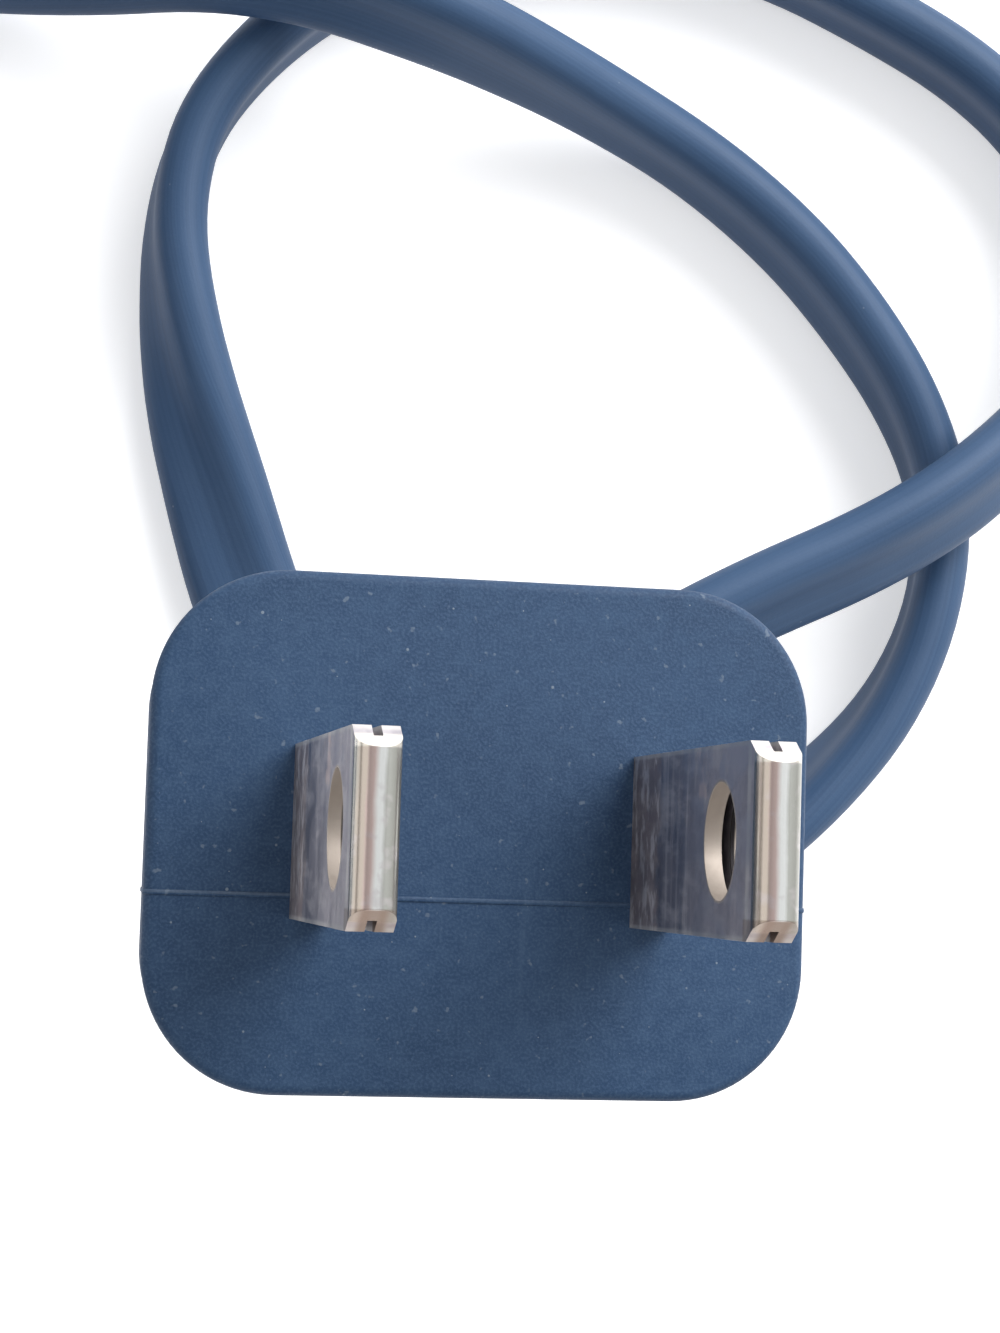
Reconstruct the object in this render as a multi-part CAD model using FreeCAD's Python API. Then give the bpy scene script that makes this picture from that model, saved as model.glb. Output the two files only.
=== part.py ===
import FreeCAD, Part
import math
import os

from FreeCAD import Vector

# Two-blade moulded plug with a flat twin cord, in millimetres.
# The origin is the middle of the plug's face, between the blades.
# +Z runs along the blades, +X from the left blade to the right one, and -Z towards the cord.

# Blades
BLADE_SPACING = 12.7
BLADE_WIDTH = 6.35
BLADE_THICKNESS = 1.5
BLADE_LENGTH = 17.0
FOLD_RADIUS = 0.62
LEAF_GAP = 0.3
TIP_CUT_LENGTH = 1.2
TIP_CUT_WIDTH = 0.7
BLADE_HOLE_RADIUS = 1.95
BLADE_HOLE_HEIGHT = 12.4
BLADE_SHANK_DEPTH = 5.2
BLADE_TANG_WIDTH = 2.8
BLADE_TANG_LENGTH = 3.2
CRIMP_LENGTH = 4.4
CRIMP_WALL = 0.65
KEY_HOLE_RADIUS = 1.1

# Moulded body: a drafted head behind the face, then a grip that narrows to the strain relief
FACE_WIDTH = 24.8
FACE_HEIGHT = 19.2
FACE_CORNER_RADIUS = 5.0
FACE_EDGE_ROUND = 0.4
HEAD_DEPTH = 6.5
HEAD_DRAFT_DEG = 2.5
GRIP_LENGTH = 16.0
GRIP_END_WIDTH = 13.2
GRIP_END_HEIGHT = 10.4
GRIP_END_CORNER_RADIUS = 4.4
GRIP_STATIONS = 7
GRIP_SHOULDER_ROUND = 0.5
RIB_COUNT = 5
RIB_PITCH = 2.3
RIB_THICKNESS = 1.1
RIB_HEIGHT = 0.5
RIB_END_MARGIN = 3.2
FIRST_RIB_DEPTH = 3.6

# Strain relief: a tapered sleeve cut by slots that turn a quarter from one to the next
RELIEF_LENGTH = 20.0
RELIEF_ROOT_WIDTH = 10.4
RELIEF_ROOT_HEIGHT = 7.6
RELIEF_TAPER = 0.9
RELIEF_SIDE_FLAT = 0.16
RELIEF_SINK = 1.0
RELIEF_INNER_WALL = 0.55
SLOT_COUNT = 7
SLOT_GAP = 1.1
SLOT_WEB = 2.6
SLOT_END_MARGIN = 1.6

# Inner carrier that holds both blades at their spacing
BRIDGE_TOP_DEPTH = 1.8
BRIDGE_THICKNESS = 2.6
BRIDGE_WIDTH = 20.2
BRIDGE_HEIGHT = 9.6
BRIDGE_CORNER_RADIUS = 1.6

# Flat twin cord
CORD_WIDTH = 6.4
CORD_THICKNESS = 3.0
CORD_WEB_THICKNESS = 2.1
CONDUCTOR_RADIUS = 0.75
CORE_SPREAD_LENGTH = 7.0
CORE_STRAIGHT = 0.6

# Where the cord lies: the floor below the face, and the tied coil beside the plug
FLOOR_DROP = 60.0
COIL_CENTRE_X = -61.0
COIL_CENTRE_Y = 19.0
COIL_INNER_RADIUS = 26.4
COIL_OUTER_RADIUS = 36.8
COIL_HEIGHT = 13.0
COIL_EDGE_CHAMFER = 1.8
TIE_WIDTH = 4.0
TIE_WALL = 0.8
TIE_ANGLE_DEG = -35.0

# Free end of the cord: two split leads with bare wire ends
WIRE_END_LENGTH = 8.0

# The cord's way from the strain relief to the coil: x, y and height above the floor
CORD_ROUTE = [
    (0.0, 0.0, None),
    (0.0, 0.0, 13.2),
    (3.6, 2.2, 10.2),
    (9.6, 6.1, 9.4),
    (16.2, 10.4, 9.2),
    (23.0, 14.6, 9.4),
    (29.4, 18.2, 9.9),
    (35.0, 21.2, 9.8),
    (40.0, 24.4, 8.2),
    (43.8, 28.6, 5.4),
    (45.6, 33.8, 3.4),
    (44.8, 39.2, 2.5),
    (41.6, 43.7, 2.4),
    (36.8, 46.9, 2.4),
    (31.0, 49.6, 2.4),
    (24.8, 52.2, 2.4),
    (18.2, 53.9, 2.4),
    (11.4, 53.6, 2.4),
    (5.2, 51.6, 2.4),
    (-0.8, 48.4, 2.4),
    (-5.8, 44.9, 2.4),
    (-9.0, 40.6, 2.4),
    (-10.0, 35.4, 2.4),
    (-9.6, 30.0, 2.4),
    (-8.6, 24.8, 2.4),
    (-7.1, 19.4, 2.4),
    (-5.1, 13.6, 2.4),
    (-2.0, 7.2, 2.4),
    (2.6, 1.4, 2.4),
    (8.8, -2.6, 2.4),
    (15.8, -3.6, 2.4),
    (22.8, -1.0, 2.4),
    (28.6, 3.6, 2.4),
    (33.2, 9.2, 2.4),
    (36.1, 15.6, 2.4),
    (36.7, 21.9, 2.4),
    (34.6, 27.4, 2.4),
    (31.0, 32.2, 2.4),
    (26.6, 36.6, 2.4),
    (21.0, 40.9, 2.6),
    (14.4, 44.3, 3.8),
    (8.2, 46.5, 6.2),
    (2.6, 48.2, 7.8),
    (-3.4, 49.7, 7.8),
    (-9.6, 50.6, 6.0),
    (-16.4, 51.0, 3.6),
    (-24.8, 51.4, 2.6),
    (-34.0, 52.4, 2.6),
    (-43.6, 53.4, 3.0),
    (-53.0, 53.0, 3.6),
    (-61.6, 50.6, 4.2),
]

# The free end, from the coil's far side to where the two cores part
TAIL_ROUTE = [
    (-95.0, 24.5, 9.6),
    (-96.6, 18.6, 9.4),
    (-97.2, 12.4, 7.4),
    (-97.2, 6.2, 4.6),
    (-96.4, 0.4, 2.4),
    (-96.4, -5.0, 2.4),
]

# Each split lead, from the end of the flat cord to its bare wire
OUTER_LEAD_ROUTE = [
    (-98.05, -5.0, 2.4),
    (-98.05, -8.6, 2.4),
    (-96.9, -12.6, 2.0),
    (-94.2, -15.9, 1.7),
    (-90.4, -18.2, 1.7),
]
INNER_LEAD_ROUTE = [
    (-94.75, -5.0, 2.4),
    (-94.75, -8.2, 2.4),
    (-93.0, -11.2, 2.0),
    (-90.2, -13.3, 1.7),
    (-86.8, -14.6, 1.7),
]

ARC_REACH = 0.45

# Sizes that follow from the ones above
CORE_RADIUS = CORD_THICKNESS / 2
CORE_OFFSET = (CORD_WIDTH - CORD_THICKNESS) / 2
TUBE_RADIUS = math.sqrt(CORD_WIDTH * CORD_THICKNESS) / 2
HEAD_SHRINK = 2 * HEAD_DEPTH * math.tan(math.radians(HEAD_DRAFT_DEG))
HEAD_END_WIDTH = FACE_WIDTH - HEAD_SHRINK
HEAD_END_HEIGHT = FACE_HEIGHT - HEAD_SHRINK
HEAD_END_CORNER_RADIUS = FACE_CORNER_RADIUS - HEAD_SHRINK / 2
GRIP_END_Z = -(HEAD_DEPTH + GRIP_LENGTH)
RELIEF_END_Z = GRIP_END_Z - RELIEF_LENGTH
BLADE_X = BLADE_SPACING / 2
TANG_END_Z = -(BLADE_SHANK_DEPTH + BLADE_TANG_LENGTH)
CRIMP_END_Z = TANG_END_Z - CRIMP_LENGTH
CRIMP_RADIUS = CONDUCTOR_RADIUS + CRIMP_WALL
CORE_START_Z = CRIMP_END_Z - CORE_STRAIGHT
SPREAD_END_Z = CORE_START_Z - CORE_SPREAD_LENGTH
SPLIT_Z = SPREAD_END_Z - CORE_STRAIGHT
FLOOR_Z = -FLOOR_DROP
COIL_CENTRE = Vector(COIL_CENTRE_X, COIL_CENTRE_Y, FLOOR_Z)
SIDES = {"left": -1, "right": 1}


def rounded_rectangle(width, height, radius, z):
    """Closed wire of a rounded rectangle, level at z."""
    x = width / 2
    y = height / 2
    corner = min(radius, 0.98 * x, 0.98 * y)
    flat_x = x - corner
    flat_y = y - corner
    bend = corner * math.sqrt(0.5)
    edges = []
    turns = [(1, 1), (-1, 1), (-1, -1), (1, -1)]
    for index, (sx, sy) in enumerate(turns):
        upright = index % 2 == 0
        on_side = Vector(sx * x, sy * flat_y, z)
        on_top = Vector(sx * flat_x, sy * y, z)
        start = on_side if upright else on_top
        end = on_top if upright else on_side
        middle = Vector(sx * (flat_x + bend), sy * (flat_y + bend), z)
        edges.append(Part.Arc(start, middle, end).toShape())
        next_x, next_y = turns[(index + 1) % 4]
        if upright:
            following = Vector(next_x * flat_x, next_y * y, z)
        else:
            following = Vector(next_x * x, next_y * flat_y, z)
        edges.append(Part.LineSegment(end, following).toShape())
    return Part.Wire(edges)


def chamfered_rectangle(width, height, chamfer):
    """Closed wire of a rectangle with cut corners, upright in the XZ plane about the origin."""
    x = width / 2
    z = height / 2
    corners = []
    for sx, sz in [(1, 1), (-1, 1), (-1, -1), (1, -1)]:
        on_side = Vector(sx * x, 0, sz * (z - chamfer))
        on_end = Vector(sx * (x - chamfer), 0, sz * z)
        corners += [on_side, on_end] if sx == sz else [on_end, on_side]
    return Part.makePolygon(corners + corners[:1])


def twin_section(z):
    """Face of the flat twin cord: two round cores joined by a web."""
    lobes = []
    for side in SIDES.values():
        lobe = Part.Circle(Vector(side * CORE_OFFSET, 0, z), Vector(0, 0, 1), CORE_RADIUS)
        lobes.append(Part.Face(Part.Wire(lobe.toShape())))
    web = Part.makePlane(
        2 * CORE_OFFSET, CORD_WEB_THICKNESS, Vector(-CORE_OFFSET, -CORD_WEB_THICKNESS / 2, z))
    return lobes[0].multiFuse([lobes[1], web]).removeSplitter()


def grip_section(share, extra_height):
    """Grip's outline at a share of its length, easing from the head to the strain relief."""
    ease = share * share * (3 - 2 * share)
    width = HEAD_END_WIDTH + (GRIP_END_WIDTH - HEAD_END_WIDTH) * ease
    height = HEAD_END_HEIGHT + (GRIP_END_HEIGHT - HEAD_END_HEIGHT) * ease
    radius = HEAD_END_CORNER_RADIUS + (GRIP_END_CORNER_RADIUS - HEAD_END_CORNER_RADIUS) * ease
    z = -(HEAD_DEPTH + GRIP_LENGTH * share)
    return rounded_rectangle(width, height + 2 * extra_height, radius, z)


def grip_form(extra_height):
    """Solid of the grip, made taller by the given amount on both broad sides."""
    shares = [index / (GRIP_STATIONS - 1) for index in range(GRIP_STATIONS)]
    return Part.makeLoft([grip_section(share, extra_height) for share in shares], True, False)


def plain_grip():
    """Grip without its ribs, with its rear shoulder rounded."""
    grip = grip_form(0)
    shoulder = [edge for edge in grip.Edges if abs(edge.BoundBox.ZMax - GRIP_END_Z) < 1e-6]
    return grip.makeFillet(GRIP_SHOULDER_ROUND, shoulder)


def head_form():
    """Drafted head behind the face, with its front edge rounded."""
    face = rounded_rectangle(FACE_WIDTH, FACE_HEIGHT, FACE_CORNER_RADIUS, 0)
    rear = rounded_rectangle(HEAD_END_WIDTH, HEAD_END_HEIGHT, HEAD_END_CORNER_RADIUS, -HEAD_DEPTH)
    head = Part.makeLoft([face, rear], True, True)
    front = [edge for edge in head.Edges if abs(edge.BoundBox.ZMin) < 1e-6]
    return head.makeFillet(FACE_EDGE_ROUND, front)


def grip_ribs():
    """Finger ribs across both broad sides of the grip."""
    raised = grip_form(RIB_HEIGHT)
    ribs = []
    for index in range(RIB_COUNT):
        top = -(HEAD_DEPTH + FIRST_RIB_DEPTH + index * RIB_PITCH)
        share = (FIRST_RIB_DEPTH + index * RIB_PITCH) / GRIP_LENGTH
        ease = share * share * (3 - 2 * share)
        width = HEAD_END_WIDTH + (GRIP_END_WIDTH - HEAD_END_WIDTH) * ease - 2 * RIB_END_MARGIN
        slab = Part.makeBox(
            width, FACE_HEIGHT, RIB_THICKNESS, Vector(-width / 2, -FACE_HEIGHT / 2, top - RIB_THICKNESS))
        ribs.append(raised.common(slab))
    return ribs


def relief_form():
    """Tapered strain relief with slots that leave webs on alternate sides."""
    ends = {GRIP_END_Z + RELIEF_SINK: 0, RELIEF_END_Z: 2 * RELIEF_TAPER}
    outlines = []
    for z, narrowing in ends.items():
        width = RELIEF_ROOT_WIDTH - narrowing
        height = RELIEF_ROOT_HEIGHT - narrowing
        outlines.append(rounded_rectangle(width, height, (height - RELIEF_SIDE_FLAT) / 2, z))
    sleeve = Part.makeLoft(outlines, True, True)
    liner = rounded_rectangle(
        CORD_WIDTH + 2 * RELIEF_INNER_WALL,
        CORD_THICKNESS + 2 * RELIEF_INNER_WALL,
        CORE_RADIUS + RELIEF_INNER_WALL,
        RELIEF_END_Z)
    core = Part.Face(liner).extrude(Vector(0, 0, RELIEF_LENGTH))
    pitch = (RELIEF_LENGTH - 2 * SLOT_END_MARGIN - SLOT_GAP) / (SLOT_COUNT - 1)
    reach = RELIEF_ROOT_WIDTH
    for index in range(SLOT_COUNT):
        bottom = GRIP_END_Z - SLOT_END_MARGIN - SLOT_GAP - index * pitch
        slot = Part.makeBox(2 * reach, 2 * reach, SLOT_GAP, Vector(-reach, -reach, bottom))
        if index % 2 == 0:
            web = Part.makeBox(2 * reach, SLOT_WEB, SLOT_GAP, Vector(-reach, -SLOT_WEB / 2, bottom))
        else:
            web = Part.makeBox(SLOT_WEB, 2 * reach, SLOT_GAP, Vector(-SLOT_WEB / 2, -reach, bottom))
        sleeve = sleeve.cut(slot.cut(web.fuse(core)))
    return sleeve


def folded_strip():
    """Strip folded over at the tip into two leaves, with its tip corners cut off."""
    half = BLADE_THICKNESS / 2
    bend = FOLD_RADIUS * (1 - math.sqrt(0.5))
    shoulder = BLADE_LENGTH - FOLD_RADIUS
    y = -BLADE_WIDTH / 2
    foot = [Vector(side * half, y, -BLADE_SHANK_DEPTH) for side in (-1, 1)]
    sides = [Vector(side * half, y, shoulder) for side in (-1, 1)]
    crown = [Vector(side * (half - FOLD_RADIUS), y, BLADE_LENGTH) for side in (-1, 1)]
    turns = [Vector(side * (half - bend), y, BLADE_LENGTH - bend) for side in (-1, 1)]
    outline = Part.Wire([
        Part.LineSegment(foot[0], sides[0]).toShape(),
        Part.Arc(sides[0], turns[0], crown[0]).toShape(),
        Part.LineSegment(crown[0], crown[1]).toShape(),
        Part.Arc(crown[1], turns[1], sides[1]).toShape(),
        Part.LineSegment(sides[1], foot[1]).toShape(),
        Part.LineSegment(foot[1], foot[0]).toShape(),
    ])
    strip = Part.Face(outline).extrude(Vector(0, BLADE_WIDTH, 0))
    gap_top = BLADE_LENGTH - (BLADE_THICKNESS - LEAF_GAP) / 2
    strip = strip.cut(Part.makeBox(
        LEAF_GAP, BLADE_WIDTH, gap_top, Vector(-LEAF_GAP / 2, -BLADE_WIDTH / 2, 0)))
    for side in (-1, 1):
        edge = side * BLADE_WIDTH / 2
        corner = Part.makePolygon([
            Vector(-half, edge, BLADE_LENGTH),
            Vector(-half, edge - side * TIP_CUT_WIDTH, BLADE_LENGTH),
            Vector(-half, edge, BLADE_LENGTH - TIP_CUT_LENGTH),
            Vector(-half, edge, BLADE_LENGTH),
        ])
        strip = strip.cut(Part.Face(corner).extrude(Vector(BLADE_THICKNESS, 0, 0)))
    return strip


def blade(side):
    """Folded blade with a hole, a keyed shank and a crimp barrel."""
    x = side * BLADE_X
    strip = folded_strip()
    strip.translate(Vector(x, 0, 0))
    tang = Part.makeBox(
        BLADE_THICKNESS, BLADE_TANG_WIDTH, BLADE_TANG_LENGTH,
        Vector(x - BLADE_THICKNESS / 2, -BLADE_TANG_WIDTH / 2, TANG_END_Z))
    barrel = Part.makeCylinder(CRIMP_RADIUS, CRIMP_LENGTH, Vector(x, 0, CRIMP_END_Z))
    bore = Part.makeCylinder(CONDUCTOR_RADIUS, CRIMP_LENGTH, Vector(x, 0, CRIMP_END_Z))
    across = Vector(x - BLADE_THICKNESS, 0, BLADE_HOLE_HEIGHT)
    hole = Part.makeCylinder(BLADE_HOLE_RADIUS, 2 * BLADE_THICKNESS, across, Vector(1, 0, 0))
    key_height = -(BRIDGE_TOP_DEPTH + BRIDGE_THICKNESS / 2)
    key_start = Vector(x - BLADE_THICKNESS, 0, key_height)
    key = Part.makeCylinder(KEY_HOLE_RADIUS, 2 * BLADE_THICKNESS, key_start, Vector(1, 0, 0))
    form = strip.multiFuse([tang, barrel.cut(bore)])
    return form.cut(hole).cut(key).removeSplitter()


def bridge(blades):
    """Hard inner carrier, moulded round both shanks and through their key holes."""
    outline = rounded_rectangle(
        BRIDGE_WIDTH, BRIDGE_HEIGHT, BRIDGE_CORNER_RADIUS, -BRIDGE_TOP_DEPTH)
    block = Part.Face(outline).extrude(Vector(0, 0, -BRIDGE_THICKNESS))
    return block.cut(blades[0]).cut(blades[1])


def spread_path(side, top, bottom):
    """Centre line of one core from its blade down to its lobe of the flat cord."""
    blade_x = side * BLADE_X
    lobe_x = side * CORE_OFFSET
    shift = BLADE_X - CORE_OFFSET
    half_turn = math.atan2(shift, CORE_SPREAD_LENGTH)
    radius = CORE_SPREAD_LENGTH / (2 * math.sin(2 * half_turn))
    rise = radius * math.sin(half_turn)
    inset = radius * (1 - math.cos(half_turn))
    middle = Vector((blade_x + lobe_x) / 2, 0, (CORE_START_Z + SPREAD_END_Z) / 2)
    start = Vector(blade_x, 0, CORE_START_Z)
    end = Vector(lobe_x, 0, SPREAD_END_Z)
    leave = Vector(blade_x - side * inset, 0, CORE_START_Z - rise)
    arrive = Vector(lobe_x + side * inset, 0, SPREAD_END_Z + rise)
    edges = [
        Part.LineSegment(Vector(blade_x, 0, top), start).toShape(),
        Part.Arc(start, leave, middle).toShape(),
        Part.Arc(middle, arrive, end).toShape(),
        Part.LineSegment(end, Vector(lobe_x, 0, bottom)).toShape(),
    ]
    return Part.Wire(edges)


def sweep_round(path, radius):
    """Round solid swept along a smooth path."""
    first = path.OrderedEdges[0]
    start = first.valueAt(first.FirstParameter)
    direction = first.tangentAt(first.FirstParameter)
    ring = Part.Wire(Part.Circle(start, direction, radius).toShape())
    return path.makePipeShell([ring], True, False)


def route_points(route, start_height):
    """Route as points, with heights measured up from the floor."""
    points = []
    for x, y, height in route:
        lift = start_height if height is None else height
        points.append(Vector(x, y, FLOOR_Z + lift))
    return points


def cord_path(points, name):
    """Straight runs joined by tangent arcs, each as large as its two runs allow."""
    edges = []
    radii = []
    start = points[0]
    for before, corner, after in zip(points, points[1:], points[2:]):
        back = before - corner
        ahead = after - corner
        turn = math.pi - back.getAngle(ahead)
        reach = ARC_REACH * min(back.Length, ahead.Length)
        radius = reach / math.tan(turn / 2)
        back.normalize()
        ahead.normalize()
        inward = back + ahead
        inward.normalize()
        enter = corner + back * reach
        leave = corner + ahead * reach
        crown = corner + inward * (radius / math.cos(turn / 2) - radius)
        edges.append(Part.LineSegment(start, enter).toShape())
        edges.append(Part.Arc(enter, crown, leave).toShape())
        radii.append(radius)
        start = leave
    edges.append(Part.LineSegment(start, points[-1]).toShape())
    print(name, "bend radii", [round(radius, 1) for radius in radii])
    return Part.Wire(edges)


def cord_tube(points, radius, name):
    """Plain round tube along the cord's way."""
    path = cord_path(points, name)
    tube = sweep_round(path, radius)
    expected = math.pi * radius * radius * path.Length
    print(name, "length", round(path.Length, 1), "volume share", round(tube.Volume / expected, 4))
    return tube


def coil_form():
    """Outer shape of the tied coil: a ring with chamfered edges, resting on its tie."""
    width = COIL_OUTER_RADIUS - COIL_INNER_RADIUS
    section = chamfered_rectangle(width, COIL_HEIGHT, COIL_EDGE_CHAMFER)
    middle = Vector(COIL_INNER_RADIUS + width / 2, 0, TIE_WALL + COIL_HEIGHT / 2)
    section.translate(COIL_CENTRE + middle)
    return Part.Face(section).revolve(COIL_CENTRE, Vector(0, 0, 1), 360)


def tie_form(coil):
    """Flat tie wrapped once round the coil's turns."""
    width = COIL_OUTER_RADIUS - COIL_INNER_RADIUS + 2 * TIE_WALL
    height = COIL_HEIGHT + 2 * TIE_WALL
    corner = COIL_EDGE_CHAMFER + TIE_WALL * (2 - math.sqrt(2))
    loop = chamfered_rectangle(width, height, corner)
    middle = Vector((COIL_OUTER_RADIUS + COIL_INNER_RADIUS) / 2, TIE_WIDTH / 2, height / 2)
    loop.translate(COIL_CENTRE + middle)
    block = Part.Face(loop).extrude(Vector(0, -TIE_WIDTH, 0))
    block.rotate(COIL_CENTRE, Vector(0, 0, 1), TIE_ANGLE_DEG)
    return block.cut(coil)


def make_plug(parts):
    """Blades, inner carrier, cores, conductors and the body moulded round them."""
    blades = [blade(side) for side in SIDES.values()]
    parts["blade_left"], parts["blade_right"] = blades
    parts["blade_bridge"] = bridge(blades)
    flat_cord = twin_section(SPLIT_Z).extrude(Vector(0, 0, RELIEF_END_Z - SPLIT_Z))
    for name, side in SIDES.items():
        wire = sweep_round(spread_path(side, TANG_END_Z, RELIEF_END_Z), CONDUCTOR_RADIUS)
        core = sweep_round(spread_path(side, CRIMP_END_Z, SPLIT_Z), CORE_RADIUS)
        parts["conductor_" + name] = wire
        parts["core_" + name] = core.cut(wire)
        flat_cord = flat_cord.cut(wire)
    parts["cord_entry"] = flat_cord
    outside = head_form().multiFuse([plain_grip(), relief_form()] + grip_ribs())
    parts["plug_body"] = outside.cut(list(parts.values())).removeSplitter()


def make_cord(parts):
    """Free cord from the strain relief to its tied coil, and its split far end."""
    coil = coil_form()
    run = cord_tube(route_points(CORD_ROUTE, RELIEF_END_Z - FLOOR_Z), TUBE_RADIUS, "cord_run")
    tail = cord_tube(route_points(TAIL_ROUTE, 0), TUBE_RADIUS, "cord_tail")
    parts["cord_coil"] = coil
    parts["coil_tie"] = tie_form(coil)
    parts["cord_run"] = run.cut(coil)
    parts["cord_tail"] = tail.cut(coil)
    leads = {"outer": OUTER_LEAD_ROUTE, "inner": INNER_LEAD_ROUTE}
    for name, route in leads.items():
        points = route_points(route, 0)
        along = points[-1] - points[-2]
        parts["lead_" + name] = cord_tube(points, CORE_RADIUS, "lead_" + name)
        parts["wire_end_" + name] = Part.makeCylinder(
            CONDUCTOR_RADIUS, WIRE_END_LENGTH, points[-1], along)


def main():
    parts = {}
    make_plug(parts)
    make_cord(parts)
    os.makedirs("parts", exist_ok=True)
    for name, shape in parts.items():
        print(name, "solids", len(shape.Solids), "valid", shape.isValid(), "volume", round(shape.Volume, 2))
        shape.exportStep("parts/" + name + ".step")


main()
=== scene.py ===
import math

import bmesh
import bpy
import numpy as np
from mathutils import Euler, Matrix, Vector


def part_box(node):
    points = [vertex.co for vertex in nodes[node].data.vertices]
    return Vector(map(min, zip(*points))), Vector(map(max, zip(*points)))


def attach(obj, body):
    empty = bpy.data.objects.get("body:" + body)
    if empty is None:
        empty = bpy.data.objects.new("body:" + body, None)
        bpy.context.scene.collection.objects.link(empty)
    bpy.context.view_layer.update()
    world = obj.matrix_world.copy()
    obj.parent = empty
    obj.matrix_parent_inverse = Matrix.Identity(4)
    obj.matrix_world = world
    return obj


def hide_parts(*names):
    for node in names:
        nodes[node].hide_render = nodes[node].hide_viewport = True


# Moulded two-blade plug on a flat twin cord. Sizes are in millimetres, and meshes in metres.
MM = 0.001
UP = Vector((0, 0, 1))

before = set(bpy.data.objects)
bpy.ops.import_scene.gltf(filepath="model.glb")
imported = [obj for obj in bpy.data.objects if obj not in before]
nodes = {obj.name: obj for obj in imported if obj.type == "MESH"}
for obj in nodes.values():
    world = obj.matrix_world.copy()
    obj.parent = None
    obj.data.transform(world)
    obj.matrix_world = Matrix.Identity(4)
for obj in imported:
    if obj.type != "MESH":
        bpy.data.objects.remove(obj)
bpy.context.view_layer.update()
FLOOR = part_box("coil_tie")[0].z / MM
RELIEF_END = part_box("plug_body")[0].z / MM

# Moulded body, from the face back to the end of the strain relief
FACE_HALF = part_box("plug_body")[1] / MM
FACE_CORNER = 5.0
FACE_ROUND = 0.4
HEAD_DEPTH = 6.5
HEAD_DRAFT = HEAD_DEPTH * math.tan(math.radians(2.5))
GRIP_LENGTH = 16.0
GRIP_END = (6.6, 5.2, 4.4)
GRIP_STEP = 0.16
SHOULDER_ROUND = 0.5
EDGE_STEPS = 6
RIB_COUNT = 5
RIB_FIRST = 3.6
RIB_PITCH = 2.3
RIB_THICKNESS = 1.1
RIB_HEIGHT = 0.5
RIB_MARGIN = 3.2
RIB_SOFT = 0.3
RELIEF_ROOT = (5.2, 3.8)
RELIEF_TAPER = 0.9
RELIEF_SINK = 1.0
RELIEF_FLAT = 0.08
RELIEF_WALL = 0.55
SLOT_COUNT = 7
SLOT_GAP = 1.1
SLOT_MARGIN = 1.6
SLOT_WEB = 2.6
SLOT_ROUND = 0.14
QUARTER_POINTS = 56
SHELL_MERGE = 0.002
SHELL_SHARP_DEG = 38.0
PARTING_Y = -2.35
PARTING_WIDTH = 0.2
PARTING_HEIGHT = 0.1
PARTING_STEPS = 40
PARTING_SIDES = 10

# Blades
BLADE_OFFSET = 6.35
BLADE_HALF_WIDTH = 3.175
HOLE_HEIGHT = 12.4
HOLE_RADIUS = 1.95
FOLD_START = 16.3
LIP_HEIGHT = 15.8
LIP_HALF = 0.2
CORNER_CUT = 0.7
BLADE_EDGE = 0.07
BLADE_EDGE_STEPS = 2
BLADE_MERGE = 0.001
BLADE_FLAT_DEG = 1.0
BLADE_SHARP_DEG = 30.0

# Flat twin cord. Its tilt counts where its way is level enough, as the sine of its angle from upright
LEVEL_ENOUGH = 0.6
CORD_WIDTH = 6.4
CORD_THICKNESS = 3.0
CORD_GROOVE = 0.16
CORD_SIDES = 44
CORD_STEPS = 6
LEAD_SIDES = 24
TWIST_EASE = 0.16
SPLINE_ORDER = 3
SMALLEST = 1e-9

# Put-away coil: two layers of the cord on edge, each three turns wide, inward below and outward above,
# then a last stretch down the coil's outside
COIL_CENTRE = (-61.0, 19.0)
COIL_COLUMNS = (35.2, 31.95, 28.7, 28.7, 31.95, 35.2, 38.7)
COIL_HEIGHTS = (4.05, 4.05, 4.05, 10.5, 10.5, 10.5, 10.5)
COIL_START_DEG = 95.0
COIL_LEAVE_DEG = 2335.0
COIL_STEP_DEG = 20.0
COIL_TILT_DEG = -270.0
COIL_JOG_DEG = 40.0
COIL_DROP_DEG = 2275.0
COIL_DROP_SPAN_DEG = 80.0
COIL_DROP = 6.0
COIL_CLIMB_INWARD = 3.3
COIL_CLIMB_LEAD_DEG = 20.0

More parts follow.
